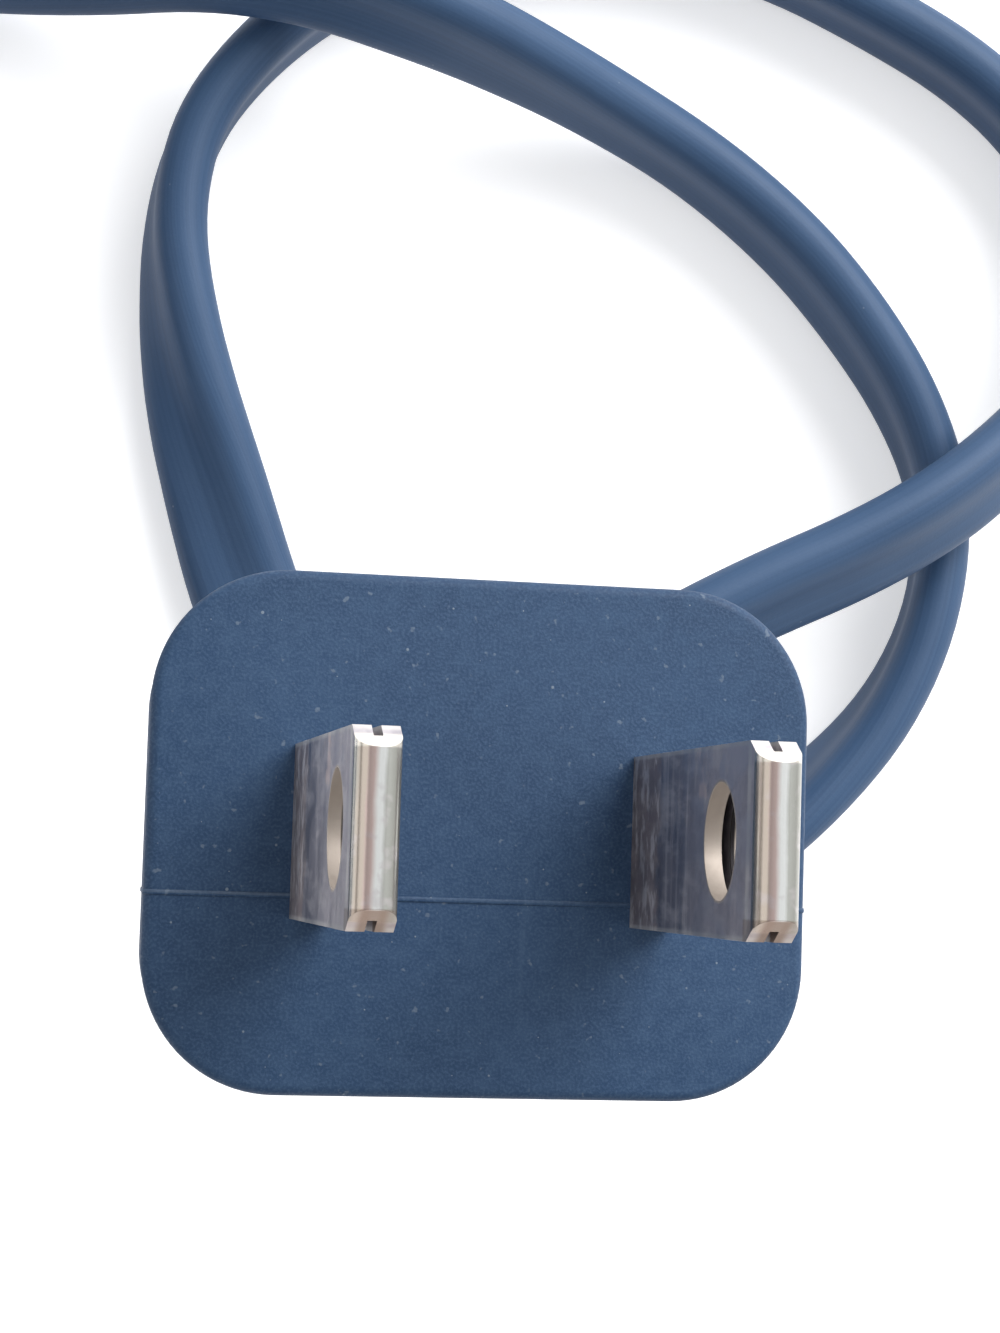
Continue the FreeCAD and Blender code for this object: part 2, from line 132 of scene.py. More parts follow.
# The cord's way from the strain relief to the coil: x, y, height above the floor and
# the tilt of its broad side from level
CORD_ROUTE = [
    (0.0, 0.0, None, -110),
    (0.0, 0.0, 13.2, -118),
    (3.7, 2.2, 10.4, -123),
    (10.1, 6.2, 9.8, -126),
    (17.0, 10.5, 9.8, -128),
    (24.0, 14.4, 9.9, -128),
    (30.7, 17.5, 10.1, -128),
    (36.2, 20.9, 9.9, -128),
    (40.8, 24.8, 8.3, -122),
    (44.8, 29.0, 6.0, -112),
    (46.9, 34.2, 4.2, -102),
    (46.3, 39.8, 3.4, -96),
    (43.3, 44.8, 3.3, -93),
    (38.8, 48.5, 3.3, -92),
    (33.0, 51.4, 3.3, -92),
    (26.7, 54.0, 3.3, -91),
    (19.6, 55.4, 3.3, -89),
    (12.2, 55.0, 3.3, -87),
    (5.4, 53.2, 3.3, -87),
    (-0.6, 49.7, 3.3, -88),
    (-5.0, 45.6, 3.3, -89),
    (-8.0, 41.1, 3.3, -91),
    (-9.1, 35.8, 3.3, -104),
    (-8.7, 30.4, 3.2, -128),
    (-7.6, 25.2, 2.9, -149),
    (-5.9, 19.9, 2.5, -166),
    (-4.0, 14.1, 2.1, -178),
    (-1.0, 7.6, 1.8, -190),
    (3.2, 1.6, 1.9, -204),
    (8.8, -2.6, 2.3, -216),
    (15.8, -3.8, 2.7, -230),
    (23.2, -1.3, 3.0, -248),
    (29.6, 3.4, 3.2, -268),
    (34.7, 8.9, 3.25, -284),
    (37.6, 15.5, 3.25, -287),
    (37.8, 22.0, 3.25, -273),
    (35.7, 27.4, 3.3, -264),
    (32.3, 32.3, 3.3, -263),
    (28.1, 36.9, 3.3, -265),
    (22.3, 41.3, 3.3, -266),
    (15.6, 44.2, 4.8, -258),
    (9.3, 45.7, 8.0, -246),
    (3.9, 46.7, 10.5, -240),
    (-2.0, 48.2, 10.7, -242),
    (-8.3, 49.2, 8.8, -250),
    (-15.2, 49.1, 5.2, -254),
    (-24.0, 49.0, 3.7, -260),
    (-33.6, 50.8, 3.7, -264),
    (-43.4, 54.0, 3.9, -270),
    (-53.0, 55.2, 4.0, -270),
]
TAIL_ROUTE = [
    (-100.0, 16.0, 4.3, -284),
    (-100.2, 9.8, 3.6, -320),
    (-98.8, 4.4, 3.0, -360),
    (-96.4, 0.2, 2.45, -368),
    (-96.4, -5.0, 1.65, -366),
]
OUTER_LEAD_ROUTE = [
    (-98.1, -4.0, 1.6),
    (-98.1, -6.4, 1.6),
    (-98.0, -9.2, 1.6),
    (-96.9, -12.6, 1.6),
    (-94.2, -15.9, 1.6),
    (-90.4, -18.2, 1.7),
]
INNER_LEAD_ROUTE = [
    (-94.7, -4.0, 1.6),
    (-94.7, -6.2, 1.6),
    (-94.5, -8.6, 1.6),
    (-93.0, -11.2, 1.6),
    (-90.2, -13.3, 1.6),
    (-86.8, -14.6, 1.7),
]

# Bare wire: fine strands in rings round one straight strand. The shuffle spreads their uneven cut,
# by steps for the strand and the ring, over a number of lengths
WIRE_RADIUS = 0.75
WIRE_LENGTH = 8.0
WIRE_RINGS = (1, 6, 12)
WIRE_LAY = 14.0
STRAND_SIDES = 8
STRAND_UNEVEN = 0.5
STRAND_SHUFFLE = (5, 2, 7)
STRAND_STEPS = 30

# Tie round the coil: a ribbon on a wire core, as distances out from the middle of the turns
# and heights above the floor, then the twist of its two ends
TIE_TURN_DEG = -35.0
TIE_MIDDLE_RADIUS = 31.6
TIE_LOOP = [
    (7.0, 8.3),
    (6.3, 7.2),
    (6.05, 5.0),
    (6.05, 2.2),
    (5.0, 0.45),
    (2.4, 0.4),
    (-2.4, 0.4),
    (-4.2, 0.5),
    (-5.1, 2.2),
    (-5.1, 7.3),
    (-5.1, 12.2),
    (-4.2, 14.1),
    (-2.4, 14.2),
    (2.4, 14.2),
    (5.0, 14.15),
    (6.05, 12.2),
    (6.3, 10.4),
    (7.0, 9.5),
]
TIE_RIBBON_WIDTH = 4.0
TIE_RIBBON_THICKNESS = 0.36
TIE_CORE = 0.78
TIE_TWIST_START = (7.2, 8.9)
TIE_TWIST_END = (15.4, 9.6)
TIE_TWIST_TURNS = 1.0
TIE_TWIST_STEPS = 64
TIE_TWIST_REACH = 0.75 * TIE_CORE

# Camera
CAMERA_PLACE = (-17.89, -1.06, 98.55)
CAMERA_TURN_DEG = (3.89, -10.64, 1.82)
CAMERA_LENS = 73.19
CAMERA_SENSOR = 36.0
CAMERA_NEAR = 5.0

# Floor and light, with the lamps' places and sizes in metres
FLOOR_REACH = 1500.0
FLOOR_TONE = (0.85, 0.85, 0.86, 1)
WHITE = (1, 1, 1, 1)
FLOOR_GLOW = 0.5
SKY_LEFT = 0.36
SKY_MIDDLE = 0.62
SKY_RIGHT = 0.98
SKY_LEAN = 0.5
SKY_LEFT_SPAN = (-0.7, 0.1)
SKY_RIGHT_SPAN = (0.2, 0.7)
KEY_PLACE = (0.2, 0.25, 0.22)
KEY_SIZE = 0.28
KEY_POWER = 1.7
FILL_PLACE = (-0.45, -0.05, 0.3)
FILL_SIZE = 0.4
FILL_POWER = 0.4
LAMP_TARGET = (0, 0.01, -0.03)

# Colours
PVC_DEEP = (0.016, 0.046, 0.108, 1)
PVC_NAVY = (0.021, 0.056, 0.126, 1)
PVC_PALE = (0.06, 0.112, 0.198, 1)
# Pale dust, also used for the painted highlight along the parting line
DUST_AND_SEAM_HIGHLIGHT = (0.2, 0.25, 0.31, 1)
CORD_DEEP = (0.034, 0.076, 0.158, 1)
CORD_NAVY = (0.053, 0.106, 0.206, 1)
# Painted highlight along a blade's narrow edges and its lip
NICKEL = (0.72, 0.7, 0.67, 1)
PALE_NICKEL = (0.66, 0.63, 0.64, 1)
DULL_NICKEL = (0.62, 0.57, 0.59, 1)
# Dark slate: painted reflection of the navy face low on the blades, and random clouding
SLATE_NICKEL = (0.26, 0.255, 0.3, 1)
TARNISH = (0.36, 0.29, 0.28, 1)
BRASS = (0.46, 0.4, 0.34, 1)
ROSE_WEAR = (0.86, 0.7, 0.64, 1)
# Painted shade in the hole, by the gap between a blade's leaves
PAINTED_GAP_SHADE = (0.02, 0.018, 0.02, 1)
# Painted highlight on the slanted upper corner of a blade's tip
PAINTED_CORNER_HIGHLIGHT = (0.84, 0.8, 0.72, 1)
CORNER_WORN = (0.22, 0.15, 0.11, 1)
NYLON = (0.66, 0.64, 0.59, 1)
WARM_NYLON = (0.56, 0.53, 0.46, 1)
TIN = (0.72, 0.7, 0.67, 1)
COPPER_TINT = (0.7, 0.55, 0.43, 1)
TIE_BLACK = (0.02, 0.02, 0.024, 1)
TIE_GREY = (0.05, 0.05, 0.058, 1)

# Painted reflections across the rounded fold at a blade's tip, by their distance from its middle: painted
# shade near its sides, warm and rose on one side, a painted white highlight in the middle and grey on the
# other
FOLD_SHADE = (0.34, 0.34, 0.31, 1)
WARM_FOLD_REFLECTION = (0.57, 0.495, 0.425, 1)
ROSE_FOLD_REFLECTION = (0.615, 0.48, 0.45, 1)
FOLD_HIGHLIGHT = (0.88, 0.9, 0.89, 1)
GREY_FOLD_REFLECTION = (0.44, 0.45, 0.42, 1)
PAINTED_FOLD_REFLECTIONS = [
    (-0.75, FOLD_SHADE),
    (-0.6, WARM_FOLD_REFLECTION),
    (-0.44, WARM_FOLD_REFLECTION),
    (-0.34, ROSE_FOLD_REFLECTION),
    (-0.2, ROSE_FOLD_REFLECTION),
    (-0.02, FOLD_HIGHLIGHT),
    (0.12, FOLD_HIGHLIGHT),
    (0.24, GREY_FOLD_REFLECTION),
    (0.6, FOLD_SHADE),
    (0.75, GREY_FOLD_REFLECTION),
]

# Patches of noise in a finish: scale (or one for each axis), detail, and where a patch starts and is full
PVC_CLOUD = (130.0, 3.0, 0.3, 0.7)
PVC_MOTTLE = (1500.0, 6.0, 0.35, 0.75)
PVC_FLECKS = (2300.0, 2.0, 0.665, 0.75)
PVC_RUB = ((900.0, 70.0, 200.0), 3.0, 0.62, 0.8)
SEAM_PATCHES = (260.0, 3.0, 0.3, 0.6)
CORD_CLOUD = (90.0, 3.0, 0.3, 0.7)
BLADE_CLOUD = (620.0, 6.0, 0.38, 0.64)
BLADE_MOTTLE = ((1900.0, 1900.0, 520.0), 6.0, 0.42, 0.66)
BLADE_SMUDGE = (1500.0, 4.0, 0.56, 0.7)
FOOT_SPECKS = ((2600.0, 1300.0, 2600.0), 6.0, 0.46, 0.64)

# Finer noise: scale and detail, then the values between which it shows in the colour
PVC_GRAIN = (9000.0, 2.0)
PVC_GRAIN_SHOWS = (0.4, 0.7)
CORD_GRAIN = (5200.0, 2.0)
CORD_GRAIN_SHOWS = (0.5, 0.8)
DRAW_LINES = (3.0, 4.0)
DRAW_LINES_SHOW = (0.3, 0.7)
DRAW_LINES_ALONG = 6.0
DRAW_LINES_AROUND = (5.0, 5.0, 5.0)
BLADE_DRAWN = ((1500.0, 130.0, 2300.0), 4.0)
BLADE_DRAWN_SHOWS = (0.52, 0.66)
BLADE_RAGGED = (900.0, 5.0)
BLADE_RAGGED_SHOWS = (0.4, 0.6)
BLADE_PITS = (5200.0, 3.0)
FOLD_NOISE = (500.0, 4.0)

# Dust: cells in a metre, share of them with a speck, and the largest speck's share of a cell
PVC_DUST = [(480.0, 0.6, 0.05), (1100.0, 0.7, 0.09), (1900.0, 0.4, 0.09)]
CORD_DUST = (900.0, 0.5, 0.08)

# Painted highlight along the parting line: its pale strip, and how it fades right of the left blade
SEAM_STRIP = (-0.01, 0.1)
SEAM_SOFT = 0.03
SEAM_FADE = 1.0
SEAM_FADED = 0.7

# Wear, painted highlights, painted reflections and painted shade on the blades, as heights and reaches on
# them
EDGE_WANDER = 3.0
FOOT_HAZE = (3.8, 4.6)
STROKE_ZONE = (4.6, 9.0)
STROKE_SOFT = 0.4
SMEAR_ZONE = (9.75, 10.85)
SMEAR_SOFT = 0.2
SMEAR_SIDE = (1.3, 1.6)
# Reach across a blade where a painted highlight runs along its narrow edges
EDGE_HIGHLIGHT_REACH = (BLADE_HALF_WIDTH - 0.2, BLADE_HALF_WIDTH - 0.08)
LIP_SOFT = 0.1
FOLD_SOFT = 0.1
FOLD_WANDER = 0.2
CORNER_SOFT = 0.05
CORNER_ZONE = (LIP_HEIGHT - 0.5, LIP_HEIGHT - 0.3)
CORNER_MIDDLE = (0.3, 0.6)
CORNER_BARE = (0.5, 0.45)
HOLE_RIM = (0.02, 0.12)
# Strip of the hole wall by the gap between the leaves, painted dark as shade
LEAF_GAP = (0.1, 0.3)
LEAF_GAP_SOFT = 0.04

# Share of each layer in a finish's colour
PVC_SHARES = {"mottle": 0.28, "rub": 0.4, "grain": 0.45, "flecks": 0.4, "dust": 0.75, "seam": 0.3}
CORD_SHARES = {"grain": 0.2, "dust": 0.5}
LEAF_SHARES = {
    "cloud": 0.6,
    "mottle": 0.5,
    "strokes": 0.4,
    "foot": 0.6,
    "foot_specks": 0.85,
    "smear": 0.7,
    "edge_highlights": 0.6,
}
FOLD_SHARES = {"smudge": 0.4, "upper_corner_highlight": 0.8}
HOLE_SHARES = {"wall": 0.85, "gap": 1.0}
GRAINED_SHARES = {"patch": 0.6, "grain": 0.4}

# Gloss and relief: roughness with what adds to it, relief by layer, and each bump's strength and depth
PVC_ROUGHNESS = {"base": 0.52, "mottle": 0.14}
PVC_SPECULAR = 0.3
PVC_DUST_RELIEF = 0.6
PVC_BUMP = (0.35, 0.04)
CORD_ROUGHNESS = {"base": 0.46, "lines": 0.14}
CORD_SPECULAR = 0.34
CORD_LINE_RELIEF = 0.8
CORD_BUMP = (0.22, 0.05)
BLADE_ROUGHNESS = {"leaf": 0.26, "drawn": 0.2, "foot": 0.12, "cloud": 0.1, "hole": 0.16, "fold": 0.24}
BLADE_RELIEF = {"drawn": 0.8, "pits": 0.5}
BLADE_METAL = 0.88
BLADE_BUMP = (0.2, 0.03)
GRAINED_ROUGHNESS = 0.2
GRAINED_PATCH = (4.0, 0.35, 0.65)
GRAINED_DETAIL = 3.0
GRAINED_BUMP = (0.2, 0.04)

# Plainer finishes: two tones, scales of their patches and grain, roughness, and metal or not
CARRIER = (NYLON, WARM_NYLON, (160.0, 2600.0), 0.35, 0.0)
WIRE = (TIN, COPPER_TINT, (700.0, 5200.0), 0.24, 1.0)
TIE = (TIE_BLACK, TIE_GREY, (350.0, 3800.0), 0.34, 0.0)


def scaled(points):
    """Points in millimetres as vectors in metres."""
    return [Vector(point) * MM for point in points]


def add_node(tree, kind, inputs=None, **settings):
    """New node with its settings, and its inputs set to values or linked to sockets."""
    node = tree.nodes.new(kind)
    for name, value in settings.items():
        setattr(node, name, value)
    for socket, value in (inputs or {}).items():
        if isinstance(value, bpy.types.NodeSocket):
            tree.links.new(value, node.inputs[socket])
        else:
            node.inputs[socket].default_value = value
    return node


def calculate(tree, operation, *values):
    """Result of one Math node."""
    return add_node(tree, "ShaderNodeMath", dict(enumerate(values)), operation=operation).outputs[0]


def swept_strand_tree():
    """Nodes that sweep a stadium section, grooved along both broad sides, down a path."""
    tree = bpy.data.node_groups.new("swept_strand", "GeometryNodeTree")
    sockets = tree.interface
    sockets.new_socket("Path", in_out="INPUT", socket_type="NodeSocketGeometry")
    for name in ("Width", "Thickness", "Groove"):
        sockets.new_socket(name, in_out="INPUT", socket_type="NodeSocketFloat")
    sockets.new_socket("Sides", in_out="INPUT", socket_type="NodeSocketInt")
    sockets.new_socket("Finish", in_out="INPUT", socket_type="NodeSocketMaterial")
    sockets.new_socket("Strand", in_out="OUTPUT", socket_type="NodeSocketGeometry")
    given = add_node(tree, "NodeGroupInput").outputs

    circle = add_node(
        tree, "GeometryNodeCurvePrimitiveCircle", {"Resolution": given["Sides"], "Radius": 1.0})
    position = add_node(tree, "GeometryNodeInputPosition").outputs[0]
    corner = add_node(tree, "ShaderNodeSeparateXYZ", {0: position})
    half = calculate(tree, "MULTIPLY", given["Width"], 0.5)
    radius = calculate(tree, "MULTIPLY", given["Thickness"], 0.5)
    lobe = calculate(tree, "SUBTRACT", half, radius)
    across = calculate(tree, "MULTIPLY", corner.outputs["X"], half)
    reach = calculate(tree, "ABSOLUTE", across)
    past_lobe = calculate(tree, "SUBTRACT", reach, lobe)
    round_square = calculate(
        tree, "SUBTRACT", calculate(tree, "MULTIPLY", radius, radius),
        calculate(tree, "MULTIPLY", past_lobe, past_lobe))
    round_height = calculate(tree, "SQRT", calculate(tree, "MAXIMUM", round_square, 0.0))
    share = calculate(tree, "DIVIDE", reach, calculate(tree, "MAXIMUM", lobe, SMALLEST))
    wave = calculate(tree, "COSINE", calculate(tree, "MULTIPLY", share, math.pi))
    dip = calculate(tree, "MULTIPLY_ADD", wave, 0.5, 0.5)
    depth = calculate(tree, "MULTIPLY", given["Groove"], dip)
    groove_height = calculate(tree, "SUBTRACT", radius, depth)
    inside = calculate(tree, "LESS_THAN", reach, lobe)
    height = add_node(tree, "ShaderNodeMix", {0: inside, 2: round_height, 3: groove_height}).outputs[0]
    signed = calculate(tree, "MULTIPLY", height, calculate(tree, "SIGN", corner.outputs["Y"]))
    place = add_node(tree, "ShaderNodeCombineXYZ", {"X": across, "Y": signed}).outputs[0]
    around = add_node(
        tree, "GeometryNodeStoreNamedAttribute",
        {"Geometry": circle.outputs[0], "Name": "around", "Value": position},
        data_type="FLOAT_VECTOR", domain="POINT").outputs[0]
    section = add_node(tree, "GeometryNodeSetPosition", {"Geometry": around, "Position": place}).outputs[0]

    rail = add_node(tree, "GeometryNodeMeshToCurve", {"Mesh": given["Path"]}).outputs[0]
    broad = add_node(
        tree, "GeometryNodeInputNamedAttribute", {"Name": "broad"},
        data_type="FLOAT_VECTOR").outputs["Attribute"]
    turned = add_node(
        tree, "GeometryNodeSetCurveNormal", {"Curve": rail, "Normal": broad}, mode="FREE").outputs[0]
    length = add_node(tree, "GeometryNodeSplineParameter").outputs["Length"]
    along = add_node(
        tree, "GeometryNodeStoreNamedAttribute", {"Geometry": turned, "Name": "along", "Value": length},
        data_type="FLOAT", domain="POINT").outputs[0]
    tube = add_node(
        tree, "GeometryNodeCurveToMesh",
        {"Curve": along, "Profile Curve": section, "Fill Caps": True}).outputs[0]
    smooth = add_node(tree, "GeometryNodeSetShadeSmooth", {"Geometry": tube}).outputs[0]
    whole = add_node(tree, "GeometryNodeRealizeInstances", {"Geometry": smooth}).outputs[0]
    finished = add_node(
        tree, "GeometryNodeSetMaterial", {"Geometry": whole, "Material": given["Finish"]}).outputs[0]
    add_node(tree, "NodeGroupOutput", {"Strand": finished})
    return tree


def evaluated_mesh(obj):
    """Plain mesh of an object with its modifiers applied."""
    bpy.context.view_layer.update()
    depsgraph = bpy.context.evaluated_depsgraph_get()
    return bpy.data.meshes.new_from_object(obj.evaluated_get(depsgraph), depsgraph=depsgraph)


def new_object(name, data):
    """Object at the origin, in the scene."""
    obj = bpy.data.objects.new(name, data)
    bpy.context.scene.collection.objects.link(obj)
    return obj


def spline_points(points, steps):
    """Points along the smooth spline that has the given ones as its control points."""
    curve = bpy.data.curves.new("route", "CURVE")
    curve.dimensions = "3D"
    curve.resolution_u = steps
    spline = curve.splines.new("NURBS")
    spline.points.add(len(points) - 1)
    for target, point in zip(spline.points, points):
        target.co = (*point, 1)
    spline.order_u = SPLINE_ORDER
    spline.use_endpoint_u = True
    spline.resolution_u = steps
    obj = new_object("route", curve)
    mesh = evaluated_mesh(obj)
    line = [vertex.co.copy() for vertex in mesh.vertices]
    bpy.data.objects.remove(obj)
    bpy.data.curves.remove(curve)
    bpy.data.meshes.remove(mesh)
    return line


def spread_values(values, count):
    """Values given at a spline's control points, read at evenly spaced steps along it."""
    spans = len(values) - 2
    stations = [0.0] + [index + 0.5 for index in range(spans)] + [float(spans)]
    return np.interp(np.linspace(0, spans, count), stations, values)


def broad_axes(line, tilts, start):
    """Direction of the section's broad side at each point, turning gently to the wanted tilt."""
    axes = []
    carried = Vector(start)
    for index, tilt in enumerate(tilts):
        ahead = line[min(index + 1, len(line) - 1)] - line[max(index - 1, 0)]
        ahead.normalize()
        carried = carried - ahead * carried.dot(ahead)
        carried.normalize()
        side = UP.cross(ahead)
        if side.length > LEVEL_ENOUGH:
            side.normalize()
            angle = math.radians(tilt)
            wanted = side * math.cos(angle) + ahead.cross(side) * math.sin(angle)
            if wanted.dot(carried) < 0:
                wanted.negate()
            carried = carried.lerp(wanted, TWIST_EASE)
            carried.normalize()
        axes.append(carried.copy())
    return axes


def swept_piece(name, line, axes, width, thickness, groove, sides, finish):
    """Piece swept along a line of points by the swept_strand nodes, as a plain mesh."""
    path = bpy.data.meshes.new(name + "_path")
    path.from_pydata(line, [(index, index + 1) for index in range(len(line) - 1)], [])
    broad = path.attributes.new("broad", "FLOAT_VECTOR", "POINT")
    broad.data.foreach_set("vector", [value for axis in axes for value in axis])
    carrier = new_object(name + "_path", path)
    modifier = carrier.modifiers.new("sweep", "NODES")
    modifier.node_group = swept_strand
    sizes = {"Width": width * MM, "Thickness": thickness * MM, "Groove": groove * MM, "Sides": sides}
    for item in swept_strand.interface.items_tree:
        if item.name in sizes:
            modifier[item.identifier] = sizes[item.name]
        if item.name == "Finish":
            modifier[item.identifier] = finish
    mesh = evaluated_mesh(carrier)
    bpy.data.objects.remove(carrier)
    bpy.data.meshes.remove(path)
    mesh.name = name
    return new_object(name, mesh)


def eased(share):
    """Share from 0 to 1 that starts and stops gently."""
    share = min(max(share, 0.0), 1.0)
    return share * share * (3 - 2 * share)


def coil_points():
    """Turns of the coil, with a short jog to the next column at the end of each one."""
    points = []
    angle = COIL_START_DEG
    last = len(COIL_COLUMNS) - 1
    drawn_in = 4 / (3 + math.cos(math.radians(COIL_STEP_DEG)))
    while angle <= COIL_LEAVE_DEG:
        column = min(int((angle - COIL_START_DEG) // 360), last)
        following = min(column + 1, last)
        into_turn = angle - COIL_START_DEG - 360 * column
        into_jog = into_turn - 360 + COIL_JOG_DEG
        jog = eased(into_jog / COIL_JOG_DEG)
        radius = COIL_COLUMNS[column] + (COIL_COLUMNS[following] - COIL_COLUMNS[column]) * jog
        height = COIL_HEIGHTS[column] + (COIL_HEIGHTS[following] - COIL_HEIGHTS[column]) * jog
        height -= COIL_DROP * eased((angle - COIL_DROP_DEG) / COIL_DROP_SPAN_DEG)
        if COIL_HEIGHTS[following] > COIL_HEIGHTS[column]:
            radius -= COIL_CLIMB_INWARD * eased((into_jog + COIL_CLIMB_LEAD_DEG) / COIL_JOG_DEG)
        elif COIL_HEIGHTS[column] > COIL_HEIGHTS[max(column - 1, 0)]:
            radius -= COIL_CLIMB_INWARD * (1 - eased(into_turn / COIL_JOG_DEG))
        turn = math.radians(angle)
        x = COIL_CENTRE[0] + radius * drawn_in * math.cos(turn)
        y = COIL_CENTRE[1] + radius * drawn_in * math.sin(turn)
        points.append((x, y, height, COIL_TILT_DEG))
        angle += COIL_STEP_DEG
    return points


def twin_cord(finish):
    """Flat twin cord along its whole way, from the strain relief to where its cores part."""
    stations = CORD_ROUTE + coil_points() + TAIL_ROUTE
    points = []
    tilts = []
    for x, y, height, tilt in stations:
        z = RELIEF_END if height is None else FLOOR + height
        points.append((x, y, z))
        tilts.append(tilt)
    line = spline_points(scaled(points), CORD_STEPS)
    axes = broad_axes(line, spread_values(tilts, len(line)), (1, 0, 0))
    cord = swept_piece(
        "twin_cord", line, axes, CORD_WIDTH, CORD_THICKNESS, CORD_GROOVE, CORD_SIDES, finish)
    return cord, line


def split_lead(name, route, finish):
    """One core of the cord after the split."""
    points = [(x, y, FLOOR + height) for x, y, height in route]
    line = spline_points(scaled(points), 2 * CORD_STEPS)
    axes = broad_axes(line, [0.0] * len(line), (1, 0, 0))
    return swept_piece(name, line, axes, CORD_THICKNESS, CORD_THICKNESS, 0.0, LEAD_SIDES, finish)


def joined(name, pieces):
    """Several pieces made one mesh."""
    work = bmesh.new()
    for piece in pieces:
        work.from_mesh(piece.data)
    mesh = bpy.data.meshes.new(name)
    work.to_mesh(mesh)
    work.free()
    for finish in pieces[0].data.materials:
        mesh.materials.append(finish)
    for piece in pieces:
        bpy.data.objects.remove(piece)
    mesh.shade_smooth()
    return new_object(name, mesh)


def stranded_wire(name, lead_route, finish):
    """Bare end of one lead: twisted strands, cut a little unevenly."""
    before, start = scaled([(x, y, FLOOR + height) for x, y, height in lead_route[-2:]])
    ahead = (start - before).normalized()
    side = UP.cross(ahead).normalized()
    above = ahead.cross(side)
    thickness = 2 * WIRE_RADIUS / (2 * len(WIRE_RINGS) - 1)
    by_index, by_ring, cuts = STRAND_SHUFFLE
    strands = []
    for ring, count in enumerate(WIRE_RINGS):
        reach = thickness * ring
        for index in range(count):
            shorter = ((index * by_index + ring * by_ring) % cuts) / (cuts - 1)
            length = WIRE_LENGTH - STRAND_UNEVEN * shorter
            line = []
            for step in range(STRAND_STEPS + 1):
                along = length * step / STRAND_STEPS
                turn = math.tau * (index / count + along / WIRE_LAY)
                aside = side * reach * math.cos(turn) + above * reach * math.sin(turn)
                line.append(start + (ahead * along + aside) * MM)
            axes = [above] * len(line)
            strands.append(swept_piece(name, line, axes, thickness, thickness, 0.0, STRAND_SIDES, finish))
    return joined(name, strands)


def twist_tie(finish):
    """Ribbon on a wire core, once round the coil, with its two ends twisted together."""
    turn = math.radians(TIE_TURN_DEG)
    outward = Vector((math.cos(turn), math.sin(turn), 0))
    beside = Vector((-math.sin(turn), math.cos(turn), 0))
    middle = Vector((*COIL_CENTRE, FLOOR)) + outward * TIE_MIDDLE_RADIUS
    corners = [middle + outward * out + UP * height for out, height in TIE_LOOP]
    loop = spline_points(scaled(corners), CORD_STEPS)
    twist = (TIE_TWIST_START, TIE_TWIST_END)
    start, end = (middle + outward * out + UP * height for out, height in twist)
    ends = []
    for phase in (-1, 1):
        line = []
        axes = []
        for step in range(TIE_TWIST_STEPS + 1):
            share = step / TIE_TWIST_STEPS
            angle = math.tau * TIE_TWIST_TURNS * share
            offset = UP * math.cos(angle) + beside * math.sin(angle)
            line.append((start.lerp(end, share) + offset * phase * TIE_TWIST_REACH) * MM)
            axes.append(beside * math.cos(angle) - UP * math.sin(angle))
        ends.append((line, axes))
    line = ends[0][0][::-1] + loop + ends[1][0]
    axes = ends[0][1][::-1] + [beside] * len(loop) + ends[1][1]
    ribbon = swept_piece(
        "tie_ribbon", line, axes, TIE_RIBBON_WIDTH, TIE_RIBBON_THICKNESS, 0.0, LEAD_SIDES, finish)
    core = swept_piece("tie_core", line, axes, TIE_CORE, TIE_CORE, 0.0, LEAD_SIDES, finish)
    return joined("twist_tie", [ribbon, core])


def quarter_outline(half_x, half_y, radius, share):
    """Point of a rounded rectangle's first quarter at a share of that quarter's length."""
    side = half_y - radius
    arc = radius * math.pi / 2
    place = share * (side + arc + half_x - radius)
    if place <= side:
        return half_x, place
    if place <= side + arc:
        turn = (place - side) / radius
        return half_x - radius + radius * math.cos(turn), side + radius * math.sin(turn)
    return half_x - radius - (place - side - arc), half_y


def outline_ring(half_x, half_y, radius):
    """Rounded rectangle as points that go once round, evenly spaced in each quarter."""
    shares = [index / QUARTER_POINTS for index in range(QUARTER_POINTS + 1)]
    quarter = [quarter_outline(half_x, half_y, radius, share) for share in shares]
    ring = quarter[:-1]
    ring += [(-x, y) for x, y in quarter[:0:-1]]
    ring += [(-x, -y) for x, y in quarter[:-1]]
    ring += [(x, -y) for x, y in quarter[:0:-1]]
    return ring


def body_outline(depth):
    """Half width, half height and corner radius of the head or the grip at a depth behind the face."""
    draft = HEAD_DRAFT * min(depth / HEAD_DEPTH, 1.0)
    ease = eased((depth - HEAD_DEPTH) / GRIP_LENGTH)
    start = (FACE_HALF.x - draft, FACE_HALF.y - draft, FACE_CORNER - draft)
    return tuple(a + (b - a) * ease for a, b in zip(start, GRIP_END))


def rib_lift(depth):
    """How far the finger ribs stand out at a depth behind the face."""
    lift = 0.0
    for index in range(RIB_COUNT):
        top = HEAD_DEPTH + RIB_FIRST + index * RIB_PITCH
        rise = eased((depth - top + RIB_SOFT / 2) / RIB_SOFT)
        fall = eased((depth - top - RIB_THICKNESS + RIB_SOFT / 2) / RIB_SOFT)
        lift = max(lift, rise - fall)
    return lift * RIB_HEIGHT


def grip_ring(depth):
    """Outline of the head or grip, with its ribs raised on both broad sides."""
    half_x, half_y, radius = body_outline(depth)
    lift = rib_lift(depth)
    ring = []
    for x, y in outline_ring(half_x, half_y, radius):
        window = eased((half_x - RIB_MARGIN - abs(x)) / RIB_SOFT + 0.5)
        ring.append((x, y + math.copysign(lift * window, y)))
    return ring


def relief_outline(depth, inset):
    """Outline of the strain relief's sleeve at a depth behind the face."""
    start = HEAD_DEPTH + GRIP_LENGTH - RELIEF_SINK
    narrowing = RELIEF_TAPER * (depth - start) / (-RELIEF_END - start) + inset
    half_x, half_y = (half - narrowing for half in RELIEF_ROOT)
    return outline_ring(half_x, half_y, half_y - RELIEF_FLAT)


